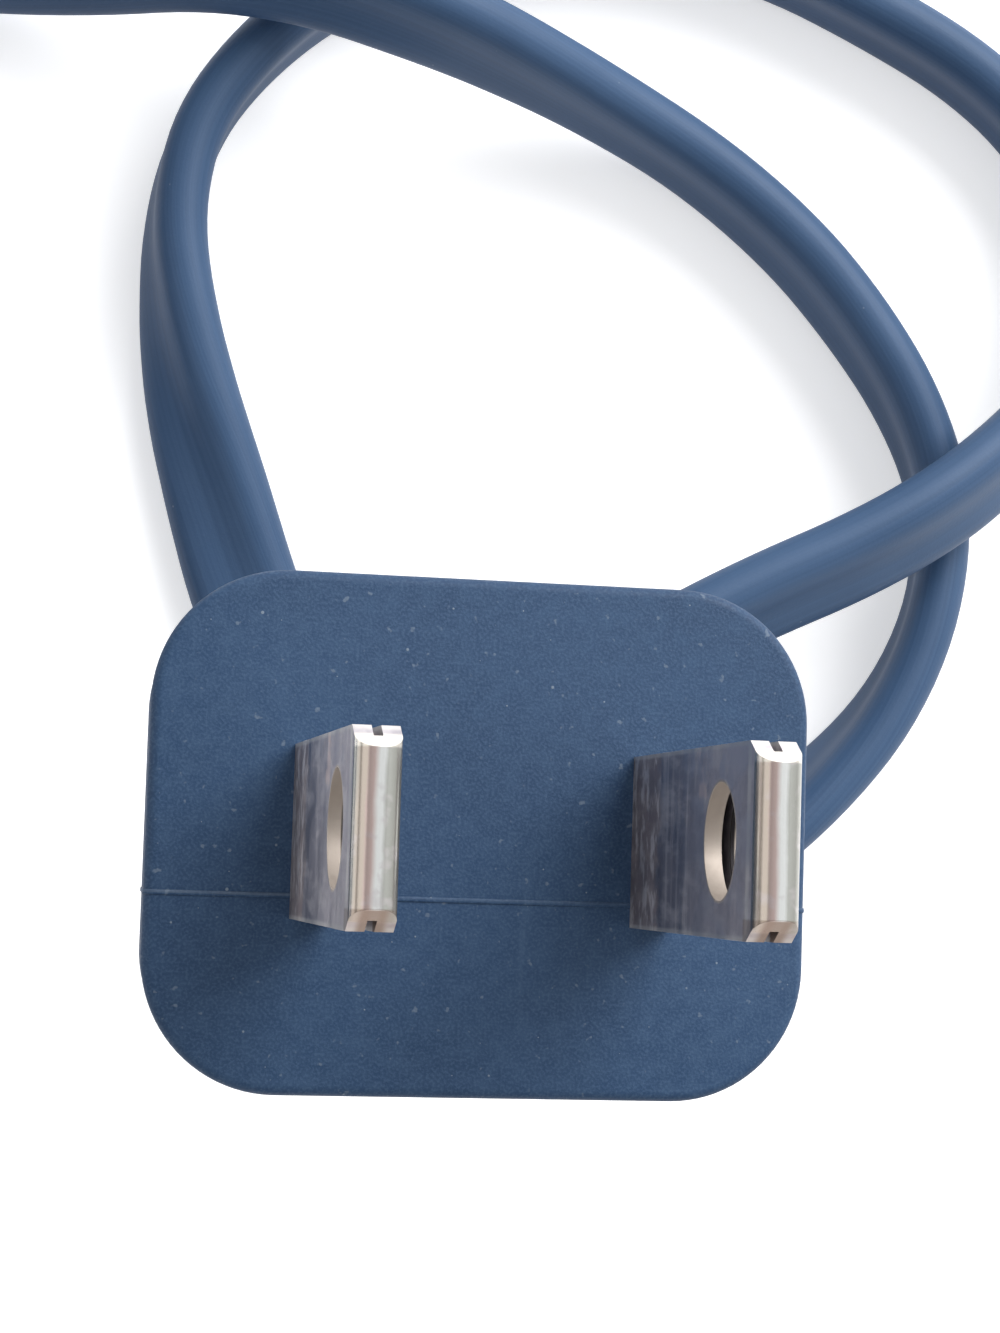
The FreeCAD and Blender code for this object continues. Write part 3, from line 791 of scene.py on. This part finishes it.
def relief_liner():
    """Outline of the thin wall round the cord that shows at the bottom of each slot."""
    half_x = CORD_WIDTH / 2 + RELIEF_WALL
    half_y = CORD_THICKNESS / 2 + RELIEF_WALL
    return outline_ring(half_x, half_y, half_y - RELIEF_FLAT)


def slot_ring(depth, inset, deep, upright):
    """Outline inside or beside a slot, where webs keep the sleeve's full size on two sides."""
    outlines = (relief_outline(depth, 0), relief_outline(depth, inset), relief_liner())
    ring = []
    for full, cut, floor in zip(*outlines):
        across = full[0] if upright else full[1]
        if abs(across) < SLOT_WEB / 2:
            ring.append(full)
        else:
            ring.append(floor if deep else cut)
    return ring


def relief_rings():
    """Rings of the strain relief, from the grip's shoulder to its end."""
    root = HEAD_DEPTH + GRIP_LENGTH
    rings = [(depth, relief_outline(depth, 0)) for depth in (root, root + SLOT_MARGIN / 2)]
    length = -RELIEF_END - root
    pitch = (length - 2 * SLOT_MARGIN - SLOT_GAP) / (SLOT_COUNT - 1)
    lip = [(SLOT_ROUND, 0), (SLOT_ROUND / 3, SLOT_ROUND / 3), (0, SLOT_ROUND)]
    for index in range(SLOT_COUNT):
        upright = index % 2 == 1
        top = root + SLOT_MARGIN + index * pitch
        bottom = top + SLOT_GAP
        for back, inset in lip:
            rings.append((top - back, slot_ring(top - back, inset, False, upright)))
        for depth in (top, bottom):
            rings.append((depth, slot_ring(depth, 0, True, upright)))
        for on, inset in reversed(lip):
            rings.append((bottom + on, slot_ring(bottom + on, inset, False, upright)))
    for depth, inset in rounded_edge(-RELIEF_END, FACE_ROUND):
        rings.append((depth, relief_outline(depth, inset)))
    return rings


def rounded_edge(depth, radius):
    """Depths and insets of rings that round an edge which ends at the given depth."""
    rings = []
    for index in range(EDGE_STEPS + 1):
        turn = math.pi / 2 * index / EDGE_STEPS
        rings.append((depth - radius + radius * math.sin(turn), radius - radius * math.cos(turn)))
    return rings


def face_edge_rings():
    """Rings that round the face's edge, from the flat face to the side."""
    rings = []
    for depth, inset in reversed(rounded_edge(0, -FACE_ROUND)):
        half_x, half_y, radius = body_outline(0)
        rings.append((depth, outline_ring(half_x + inset, half_y + inset, radius + inset)))
    return rings


def shoulder_rings():
    """Rings that round the grip's rear edge down to the strain relief."""
    rings = []
    half_x, half_y, radius = GRIP_END
    for depth, inset in rounded_edge(HEAD_DEPTH + GRIP_LENGTH, SHOULDER_ROUND):
        rings.append((depth, outline_ring(half_x - inset, half_y - inset, radius - inset)))
    return rings


def moulded_shell(finish):
    """Body moulded in one piece: head, ribbed grip and slotted strain relief."""
    grip_depth = HEAD_DEPTH + GRIP_LENGTH - SHOULDER_ROUND
    count = round((grip_depth - FACE_ROUND) / GRIP_STEP)
    depths = [FACE_ROUND + (grip_depth - FACE_ROUND) * index / count for index in range(1, count)]
    rings = face_edge_rings() + [(depth, grip_ring(depth)) for depth in depths]
    rings += shoulder_rings() + relief_rings()
    around = 4 * QUARTER_POINTS
    points = [Vector((x, y, -depth)) * MM for depth, ring in rings for x, y in ring]
    faces = [tuple(range(around))]
    for row in range(len(rings) - 1):
        for index in range(around):
            after = (index + 1) % around
            upper = row * around
            lower = upper + around
            faces.append((upper + after, upper + index, lower + index, lower + after))
    last = (len(rings) - 1) * around
    faces.append(tuple(last + index for index in reversed(range(around))))
    mesh = bpy.data.meshes.new("moulded_shell")
    mesh.from_pydata(points, [], faces)
    mesh.materials.append(finish)
    tidy = bmesh.new()
    tidy.from_mesh(mesh)
    bmesh.ops.remove_doubles(tidy, verts=tidy.verts, dist=SHELL_MERGE * MM)
    bmesh.ops.recalc_face_normals(tidy, faces=tidy.faces)
    tidy.to_mesh(mesh)
    tidy.free()
    mesh.shade_smooth()
    mesh.set_sharp_from_angle(angle=math.radians(SHELL_SHARP_DEG))
    return new_object("moulded_shell", mesh)


def edged_blade(node_name, finish):
    """Folded blade with its sharp edges broken, as stamping and plating leave them."""
    work = bmesh.new()
    work.from_mesh(nodes[node_name].data)
    bmesh.ops.remove_doubles(work, verts=work.verts, dist=BLADE_MERGE * MM)
    flat = math.radians(BLADE_FLAT_DEG)
    bmesh.ops.dissolve_limit(work, angle_limit=flat, verts=work.verts, edges=work.edges)
    mesh = bpy.data.meshes.new("edged_" + node_name)
    work.to_mesh(mesh)
    work.free()
    mesh.materials.clear()
    mesh.materials.append(finish)
    mesh.shade_smooth()
    mesh.set_sharp_from_angle(angle=math.radians(BLADE_SHARP_DEG))
    blade = new_object("edged_" + node_name, mesh)
    bevel = blade.modifiers.new("broken_edges", "BEVEL")
    bevel.width = BLADE_EDGE * MM
    bevel.segments = BLADE_EDGE_STEPS
    bevel.limit_method = "ANGLE"
    bevel.angle_limit = math.radians(BLADE_SHARP_DEG)
    bevel.harden_normals = True
    plain = evaluated_mesh(blade)
    blade.modifiers.clear()
    blade.data = plain
    bpy.data.meshes.remove(mesh)
    plain.name = "edged_" + node_name
    return blade


def side_reach(depth, y):
    """Half width of the head or grip at a height beside its middle."""
    half_x, half_y, radius = body_outline(depth)
    past = max(abs(y) - (half_y - radius), 0.0)
    return half_x - radius + math.sqrt(radius * radius - past * past)


def parting_line(finish):
    """Fine raised line that the two halves of the mould leave across the face and down both sides."""
    grip_depth = HEAD_DEPTH + GRIP_LENGTH - SHOULDER_ROUND
    half = []
    for index in reversed(range(PARTING_STEPS + 1)):
        depth = FACE_ROUND + (grip_depth - FACE_ROUND) * index / PARTING_STEPS
        half.append((side_reach(depth, PARTING_Y), -depth))
    flat = side_reach(0, PARTING_Y) - FACE_ROUND
    for index in range(1, EDGE_STEPS):
        turn = math.pi / 2 * index / EDGE_STEPS
        half.append((flat + FACE_ROUND * math.cos(turn), FACE_ROUND * math.sin(turn) - FACE_ROUND))
    for index in range(PARTING_STEPS):
        half.append((flat * (1 - index / PARTING_STEPS), 0.0))
    whole = [(-x, z) for x, z in half] + [(0.0, 0.0)] + half[::-1]
    line = scaled([(x, PARTING_Y, z) for x, z in whole])
    axes = [Vector((0, 1, 0))] * len(line)
    return swept_piece(
        "parting_line", line, axes, PARTING_WIDTH, PARTING_HEIGHT, 0.0, PARTING_SIDES, finish)


def new_material(name):
    """Material with an empty tree of nodes, and that tree."""
    material = bpy.data.materials.new(name)
    material.use_nodes = True
    material.node_tree.nodes.clear()
    return material, material.node_tree


def object_place(tree):
    """Place on the piece, in metres."""
    return add_node(tree, "ShaderNodeTexCoord").outputs["Object"]


def millimetres(tree, place):
    """The x, y and z of a place in metres, as millimetres."""
    larger = add_node(tree, "ShaderNodeVectorMath", {0: place, "Scale": 1 / MM}, operation="SCALE")
    return add_node(tree, "ShaderNodeSeparateXYZ", {0: larger.outputs[0]}).outputs


def noise(tree, place, scale, detail):
    """Noise at one scale, or at a scale for each axis."""
    if isinstance(scale, tuple):
        place = add_node(tree, "ShaderNodeMapping", {"Vector": place, "Scale": scale}).outputs[0]
        scale = 1.0
    field = add_node(tree, "ShaderNodeTexNoise", {"Vector": place, "Scale": scale, "Detail": detail})
    return field.outputs["Fac"]


def step_up(tree, value, low, high):
    """Smooth step from 0 to 1 as a value goes from low to high."""
    return add_node(
        tree, "ShaderNodeMapRange", {"Value": value, "From Min": low, "From Max": high},
        interpolation_type="SMOOTHSTEP").outputs["Result"]


def step_down(tree, value, low, high):
    """Smooth step from 1 to 0 as a value goes from low to high."""
    return calculate(tree, "SUBTRACT", 1.0, step_up(tree, value, low, high))


def band(tree, value, low, high, soft):
    """1 where a value lies between low and high, fading over a soft edge on both sides."""
    above = step_up(tree, value, low - soft, low + soft)
    below = step_down(tree, value, high - soft, high + soft)
    return calculate(tree, "MULTIPLY", above, below)


def patches(tree, place, pattern):
    """Soft-edged patches of noise: 1 inside them and 0 between."""
    scale, detail, low, high = pattern
    return step_up(tree, noise(tree, place, scale, detail), low, high)


def specks(tree, place, dust):
    """Small round specks in a share of the cells of a given scale."""
    scale, share, radius = dust
    cells = add_node(tree, "ShaderNodeTexVoronoi", {"Vector": place, "Scale": scale}).outputs
    chance = add_node(tree, "ShaderNodeSeparateColor", {0: cells["Color"]}).outputs[0]
    chosen = calculate(tree, "LESS_THAN", chance, share)
    size = calculate(tree, "MULTIPLY", chance, radius / share)
    core = calculate(tree, "MULTIPLY", size, 0.5)
    return calculate(tree, "MULTIPLY", chosen, step_down(tree, cells["Distance"], core, size))


def product(tree, first, *others):
    """All the values multiplied."""
    for value in others:
        first = calculate(tree, "MULTIPLY", first, value)
    return first


def weighted(tree, base, *terms):
    """Base value plus each further value times its weight."""
    for value, weight in terms:
        base = calculate(tree, "MULTIPLY_ADD", value, weight, base)
    return base


def mixed(tree, share, first, second):
    """Two colours mixed, by the second one's share."""
    return add_node(tree, "ShaderNodeMix", {0: share, 6: first, 7: second}, data_type="RGBA").outputs[2]


def layered(tree, colour, shares, layers):
    """Colour with further tones laid over it, each where its mask is and at its own share."""
    for name, (mask, tone) in layers.items():
        colour = mixed(tree, calculate(tree, "MULTIPLY", mask, shares[name]), colour, tone)
    return colour


def finish_surface(tree, colour, rough, height, bump, others):
    """Surface of a material with fine relief, joined to its output."""
    strength, depth = bump
    fine = {"Height": height, "Strength": strength, "Distance": depth * MM}
    relief = add_node(tree, "ShaderNodeBump", fine)
    sockets = {"Base Color": colour, "Roughness": rough, "Normal": relief.outputs[0]}
    surface = add_node(tree, "ShaderNodeBsdfPrincipled", sockets | others)
    add_node(tree, "ShaderNodeOutputMaterial", {"Surface": surface.outputs[0]})


def seam_highlight(tree, place, part):
    """Painted highlight: a pale strip along the parting line, broken into patches and fainter to the right
    of the left blade.
    """
    strip = band(tree, part["Y"], PARTING_Y + SEAM_STRIP[0], PARTING_Y + SEAM_STRIP[1], SEAM_SOFT)
    right = step_up(tree, part["X"], -BLADE_OFFSET - SEAM_FADE, -BLADE_OFFSET + SEAM_FADE)
    return product(tree, strip, patches(tree, place, SEAM_PATCHES), weighted(tree, 1.0, (right, -SEAM_FADED)))


def moulded_pvc():
    """Matt navy PVC with a spark-eroded grain, cloudy tone, clinging dust, pale rub streaks and a painted
    highlight along the parting line.
    """
    material, tree = new_material("moulded_pvc")
    place = object_place(tree)
    cloud = patches(tree, place, PVC_CLOUD)
    mottle = patches(tree, place, PVC_MOTTLE)
    grain = noise(tree, place, *PVC_GRAIN)
    dust = specks(tree, place, PVC_DUST[0])
    for finer in PVC_DUST[1:]:
        dust = calculate(tree, "MAXIMUM", dust, specks(tree, place, finer))
    colour = layered(tree, mixed(tree, cloud, PVC_DEEP, PVC_NAVY), PVC_SHARES, {
        "mottle": (mottle, PVC_PALE),
        "rub": (product(tree, patches(tree, place, PVC_RUB), cloud), PVC_PALE),
        "grain": (step_up(tree, grain, *PVC_GRAIN_SHOWS), PVC_PALE),
        "flecks": (patches(tree, place, PVC_FLECKS), DUST_AND_SEAM_HIGHLIGHT),
        "dust": (dust, DUST_AND_SEAM_HIGHLIGHT),
        # Painted highlight along the parting line
        "seam": (seam_highlight(tree, place, millimetres(tree, place)), DUST_AND_SEAM_HIGHLIGHT),
    })
    rough = weighted(tree, PVC_ROUGHNESS["base"], (mottle, PVC_ROUGHNESS["mottle"]))
    height = weighted(tree, grain, (dust, PVC_DUST_RELIEF))
    finish_surface(tree, colour, rough, height, PVC_BUMP, {"Specular IOR Level": PVC_SPECULAR})
    return material


def draw_lines(tree):
    """Fine lines that follow the cord, from how far along and where around it a point is."""
    along = add_node(tree, "ShaderNodeAttribute", attribute_name="along").outputs["Fac"]
    around = add_node(tree, "ShaderNodeAttribute", attribute_name="around").outputs["Vector"]
    onward = calculate(tree, "MULTIPLY", along, DRAW_LINES_ALONG)
    follow = add_node(tree, "ShaderNodeCombineXYZ", {"Z": onward}).outputs[0]
    place = add_node(
        tree, "ShaderNodeVectorMath", {0: around, 1: DRAW_LINES_AROUND, 2: follow},
        operation="MULTIPLY_ADD").outputs[0]
    return noise(tree, place, *DRAW_LINES)


def cord_pvc():
    """Softer navy PVC with faint draw lines along the cord, a satin sheen and a little dust."""
    material, tree = new_material("cord_pvc")
    place = object_place(tree)
    lines = draw_lines(tree)
    cloud = patches(tree, place, CORD_CLOUD)
    grain = noise(tree, place, *CORD_GRAIN)
    tone = weighted(tree, 0.0, (step_up(tree, lines, *DRAW_LINES_SHOW), 0.5), (cloud, 0.5))
    colour = layered(tree, mixed(tree, tone, CORD_DEEP, CORD_NAVY), CORD_SHARES, {
        "grain": (step_up(tree, grain, *CORD_GRAIN_SHOWS), PVC_PALE),
        "dust": (specks(tree, place, CORD_DUST), DUST_AND_SEAM_HIGHLIGHT),
    })
    rough = weighted(tree, CORD_ROUGHNESS["base"], (lines, CORD_ROUGHNESS["lines"]))
    height = weighted(tree, grain, (lines, CORD_LINE_RELIEF))
    finish_surface(tree, colour, rough, height, CORD_BUMP, {"Specular IOR Level": CORD_SPECULAR})
    return material


def leaf_masks(tree, place, part):
    """Where a blade's leaf is clouded, stroked, tarnished at its foot and smeared, and where painted
    highlights run along its edges and lip.
    """
    ragged = noise(tree, place, *BLADE_RAGGED)
    drawn = noise(tree, place, *BLADE_DRAWN)
    wander = weighted(tree, -EDGE_WANDER / 2, (ragged, EDGE_WANDER))
    height = calculate(tree, "ADD", part["Z"], wander)
    foot = step_down(tree, height, *FOOT_HAZE)
    # Painted highlight lines along the narrow edges, and a painted highlight band just below the fold
    edge = step_up(tree, calculate(tree, "ABSOLUTE", part["Y"]), *EDGE_HIGHLIGHT_REACH)
    lip = band(tree, part["Z"], LIP_HEIGHT - LIP_HALF, LIP_HEIGHT + LIP_HALF, LIP_SOFT)
    stroked = band(tree, height, *STROKE_ZONE, STROKE_SOFT)
    smeared = band(tree, height, *SMEAR_ZONE, SMEAR_SOFT)
    smeared_side = step_up(tree, part["Y"], *SMEAR_SIDE)
    return {
        "drawn": drawn,
        "upper": step_up(tree, height, STROKE_ZONE[0], HOLE_HEIGHT),
        "cloud": patches(tree, place, BLADE_CLOUD),
        "mottle": patches(tree, place, BLADE_MOTTLE),
        "strokes": product(tree, step_up(tree, drawn, *BLADE_DRAWN_SHOWS), stroked),
        "foot": foot,
        "foot_specks": product(tree, foot, patches(tree, place, FOOT_SPECKS)),
        "smear": product(tree, smeared, smeared_side, step_up(tree, ragged, *BLADE_RAGGED_SHOWS)),
        "edge_highlights": calculate(tree, "MAXIMUM", lip, edge),
    }


def leaf_colour(tree, masks):
    """Plating of a blade's leaf, dull above and slate below as a painted dark reflection of the navy face,
    with its wear and painted edge highlights laid over it.
    """
    # Slate towards the foot is a painted dark reflection of the navy face
    plating = mixed(tree, masks["upper"], SLATE_NICKEL, DULL_NICKEL)
    return layered(tree, plating, LEAF_SHARES, {
        "cloud": (masks["cloud"], SLATE_NICKEL),
        "mottle": (masks["mottle"], PALE_NICKEL),
        "strokes": (masks["strokes"], PALE_NICKEL),
        "foot": (masks["foot"], TARNISH),
        "foot_specks": (masks["foot_specks"], PALE_NICKEL),
        "smear": (masks["smear"], ROSE_WEAR),
        # Painted highlights along the edges and the lip
        "edge_highlights": (masks["edge_highlights"], NICKEL),
    })


def painted_fold_reflections(tree, distance):
    """Painted reflections across a blade's fold, read by the distance from its middle."""
    low = PAINTED_FOLD_REFLECTIONS[0][0]
    high = PAINTED_FOLD_REFLECTIONS[-1][0]
    share = add_node(tree, "ShaderNodeMapRange", {"Value": distance, "From Min": low, "From Max": high})
    ramp = add_node(tree, "ShaderNodeValToRGB", {"Fac": share.outputs["Result"]})
    stops = ramp.color_ramp.elements
    while len(stops) < len(PAINTED_FOLD_REFLECTIONS):
        stops.new(1.0)
    for stop, (place, tone) in zip(stops, PAINTED_FOLD_REFLECTIONS):
        stop.position = (place - low) / (high - low)
        stop.color = tone
    return ramp.outputs["Color"]


def past_corner(tree, across):
    """Where a distance across the blade has reached the slanted corner of its tip."""
    corner = BLADE_HALF_WIDTH - CORNER_CUT
    return step_up(tree, across, corner - CORNER_SOFT, corner + CORNER_SOFT)


def fold_colour(tree, place, part, sideways):
    """Painted reflections across the rounded fold at a blade's tip, smudged, with a painted highlight at its
    upper corner.
    """
    drift = weighted(tree, -FOLD_WANDER / 2, (noise(tree, place, *FOLD_NOISE), FOLD_WANDER))
    # Painted reflections of the surroundings across the fold, with a painted white highlight in its middle
    tones = painted_fold_reflections(tree, calculate(tree, "ADD", sideways, drift))
    return layered(tree, tones, FOLD_SHARES, {
        "smudge": (patches(tree, place, BLADE_SMUDGE), DULL_NICKEL),
        # Painted highlight on the slanted upper corner
        "upper_corner_highlight": (past_corner(tree, part["Y"]), PAINTED_CORNER_HIGHLIGHT),
    })


def bare_corner(tree, part, sideways):
    """Where the plating has worn off the lower corner of a blade's tip, most of all in its middle."""
    lower = past_corner(tree, calculate(tree, "MULTIPLY", part["Y"], -1.0))
    middle = step_down(tree, calculate(tree, "ABSOLUTE", sideways), *CORNER_MIDDLE)
    worn = weighted(tree, CORNER_BARE[0], (middle, CORNER_BARE[1]))
    return product(tree, lower, worn, step_up(tree, part["Z"], *CORNER_ZONE))


def hole_masks(tree, part):
    """Wall of the hole through a blade, and a strip of it by the gap between the two leaves, painted dark as
    shade.
    """
    rise = calculate(tree, "SUBTRACT", part["Z"], HOLE_HEIGHT)
    rise_square = calculate(tree, "MULTIPLY", rise, rise)
    from_middle = calculate(tree, "SQRT", calculate(tree, "MULTIPLY_ADD", part["Y"], part["Y"], rise_square))
    wall = step_down(tree, from_middle, HOLE_RADIUS + HOLE_RIM[0], HOLE_RADIUS + HOLE_RIM[1])
    outward = calculate(tree, "SUBTRACT", calculate(tree, "ABSOLUTE", part["X"]), BLADE_OFFSET)
    return wall, product(tree, wall, band(tree, outward, *LEAF_GAP, LEAF_GAP_SOFT))


def plated_blade():
    """Nickel plating over brass: tarnished at the foot, stroked across the leaf, brass in the hole, worn at
    the tip's lower corner; painted shade in the hole, painted highlights on edges and fold, painted
    reflections across the fold and low on the leaf.
    """
    material, tree = new_material("plated_blade")
    place = object_place(tree)
    part = millimetres(tree, place)
    centre = calculate(tree, "MULTIPLY", calculate(tree, "SIGN", part["X"]), BLADE_OFFSET)
    sideways = calculate(tree, "SUBTRACT", part["X"], centre)
    tip = step_up(tree, part["Z"], FOLD_START - FOLD_SOFT, FOLD_START + FOLD_SOFT)
    masks = leaf_masks(tree, place, part)
    wall, gap = hole_masks(tree, part)
    colour = mixed(tree, tip, leaf_colour(tree, masks), fold_colour(tree, place, part, sideways))
    colour = mixed(tree, bare_corner(tree, part, sideways), colour, CORNER_WORN)
    # The strip by the leaves' gap is painted shade
    colour = layered(tree, colour, HOLE_SHARES, {"wall": (wall, BRASS), "gap": (gap, PAINTED_GAP_SHADE)})
    leaf = weighted(tree, BLADE_ROUGHNESS["leaf"], (wall, BLADE_ROUGHNESS["hole"]))
    for name in ("drawn", "foot", "cloud"):
        leaf = weighted(tree, leaf, (masks[name], BLADE_ROUGHNESS[name]))
    rough = add_node(tree, "ShaderNodeMix", {0: tip, 2: leaf, 3: BLADE_ROUGHNESS["fold"]}).outputs[0]
    pits = noise(tree, place, *BLADE_PITS)
    height = weighted(tree, 0.0, (masks["drawn"], BLADE_RELIEF["drawn"]), (pits, BLADE_RELIEF["pits"]))
    finish_surface(tree, colour, rough, height, BLADE_BUMP, {"Metallic": BLADE_METAL})
    return material


def grained_finish(name, first, second, scales, roughness, metallic):
    """Two tones in drifting patches, with fine grain in the colour, the gloss and the surface."""
    material, tree = new_material(name)
    place = object_place(tree)
    patch = patches(tree, place, (scales[0], *GRAINED_PATCH))
    grain = noise(tree, place, scales[1], GRAINED_DETAIL)
    share = weighted(tree, 0.0, (patch, GRAINED_SHARES["patch"]), (grain, GRAINED_SHARES["grain"]))
    colour = mixed(tree, share, first, second)
    rough = weighted(tree, roughness, (share, GRAINED_ROUGHNESS))
    finish_surface(tree, colour, rough, grain, GRAINED_BUMP, {"Metallic": metallic})
    return material


def pale_floor():
    """Wide pale floor that keeps the object's shadow and reads white to the camera."""
    mesh = bpy.data.meshes.new("floor")
    reach = FLOOR_REACH * MM
    z = FLOOR * MM
    corners = [(-reach, -reach, z), (reach, -reach, z), (reach, reach, z), (-reach, reach, z)]
    mesh.from_pydata(corners, [], [(0, 1, 2, 3)])
    floor = new_object("floor", mesh)
    material, tree = new_material("pale_floor")
    rays = add_node(tree, "ShaderNodeLightPath").outputs
    seen = calculate(tree, "MAXIMUM", rays["Is Camera Ray"], rays["Is Glossy Ray"])
    strength = calculate(tree, "MULTIPLY", seen, FLOOR_GLOW)
    lit = add_node(tree, "ShaderNodeBsdfDiffuse", {"Color": FLOOR_TONE})
    glow = add_node(tree, "ShaderNodeEmission", {"Color": WHITE, "Strength": strength})
    both = add_node(tree, "ShaderNodeAddShader", {0: lit.outputs[0], 1: glow.outputs[0]})
    add_node(tree, "ShaderNodeOutputMaterial", {"Surface": both.outputs[0]})
    mesh.materials.append(material)


def area_lamp(name, place, target, size, power):
    """Square lamp at a place, turned to its target."""
    lamp = bpy.data.lights.new(name, "AREA")
    lamp.energy = power
    lamp.size = size
    obj = new_object(name, lamp)
    obj.location = Vector(place)
    obj.rotation_euler = (Vector(target) - Vector(place)).to_track_quat("-Z", "Y").to_euler()


def light_scene():
    """White sky that is brighter on the right, a key lamp on that side and a weak fill on the left."""
    world = bpy.data.worlds.new("studio")
    bpy.context.scene.world = world
    world.use_nodes = True
    tree = world.node_tree
    tree.nodes.clear()
    rays = add_node(tree, "ShaderNodeLightPath").outputs
    direction = add_node(tree, "ShaderNodeTexCoord").outputs["Generated"]
    part = add_node(tree, "ShaderNodeSeparateXYZ", {0: direction}).outputs
    sideways = calculate(tree, "MULTIPLY_ADD", part["Y"], SKY_LEAN, part["X"])
    towards_middle = step_up(tree, sideways, *SKY_LEFT_SPAN)
    towards_right = step_up(tree, sideways, *SKY_RIGHT_SPAN)
    soft = calculate(tree, "MULTIPLY_ADD", towards_middle, SKY_MIDDLE - SKY_LEFT, SKY_LEFT)
    soft = calculate(tree, "MULTIPLY_ADD", towards_right, SKY_RIGHT - SKY_MIDDLE, soft)
    strength = calculate(tree, "MAXIMUM", soft, rays["Is Camera Ray"])
    sky = add_node(tree, "ShaderNodeBackground", {"Color": WHITE, "Strength": strength})
    add_node(tree, "ShaderNodeOutputWorld", {"Surface": sky.outputs[0]})
    area_lamp("key", KEY_PLACE, LAMP_TARGET, KEY_SIZE, KEY_POWER)
    area_lamp("fill", FILL_PLACE, LAMP_TARGET, FILL_SIZE, FILL_POWER)


def photo_camera():
    """Camera at the photo's place, with its turn and its lens."""
    data = bpy.data.cameras.new("camera")
    data.lens = CAMERA_LENS
    data.sensor_width = CAMERA_SENSOR
    data.clip_start = CAMERA_NEAR * MM
    camera = new_object("camera", data)
    camera.location = Vector(CAMERA_PLACE) * MM
    camera.rotation_euler = Euler([math.radians(turn) for turn in CAMERA_TURN_DEG], "XYZ")
    bpy.context.scene.camera = camera


swept_strand = swept_strand_tree()
body_finish = moulded_pvc()
cord_finish = cord_pvc()
blade_finish = plated_blade()
carrier_finish = grained_finish("inner_carrier", *CARRIER)
wire_finish = grained_finish("tinned_copper", *WIRE)
tie_finish = grained_finish("tie_plastic", *TIE)

finishes = {
    "plug_body": body_finish,
    "blade_left": blade_finish,
    "blade_right": blade_finish,
    "blade_bridge": carrier_finish,
    "conductor_left": wire_finish,
    "conductor_right": wire_finish,
    "core_left": cord_finish,
    "core_right": cord_finish,
    "cord_entry": cord_finish,
    "coil_tie": tie_finish,
    "wire_end_outer": wire_finish,
    "wire_end_inner": wire_finish,
}
for node_name, finish in finishes.items():
    nodes[node_name].data.materials.clear()
    nodes[node_name].data.materials.append(finish)

shell = moulded_shell(body_finish)
seam = parting_line(body_finish)
for piece in (shell, seam):
    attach(piece, "root")
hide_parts("plug_body")

for side in ("left", "right"):
    blade = edged_blade("blade_" + side, blade_finish)
    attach(blade, "root")
    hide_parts("blade_" + side)

cord, cord_line = twin_cord(cord_finish)
lead_outer = split_lead("split_lead_outer", OUTER_LEAD_ROUTE, cord_finish)
lead_inner = split_lead("split_lead_inner", INNER_LEAD_ROUTE, cord_finish)
for piece in (cord, lead_outer, lead_inner):
    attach(piece, "root")
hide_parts("cord_run", "cord_coil", "cord_tail")
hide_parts("lead_outer")
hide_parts("lead_inner")

tie = twist_tie(tie_finish)
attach(tie, "root")
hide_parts("coil_tie")
for name, route in (("outer", OUTER_LEAD_ROUTE), ("inner", INNER_LEAD_ROUTE)):
    wire = stranded_wire("stranded_wire_" + name, route, wire_finish)
    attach(wire, "root")
    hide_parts("wire_end_" + name)

pale_floor()
light_scene()
photo_camera()
bpy.context.scene.view_settings.view_transform = "Standard"
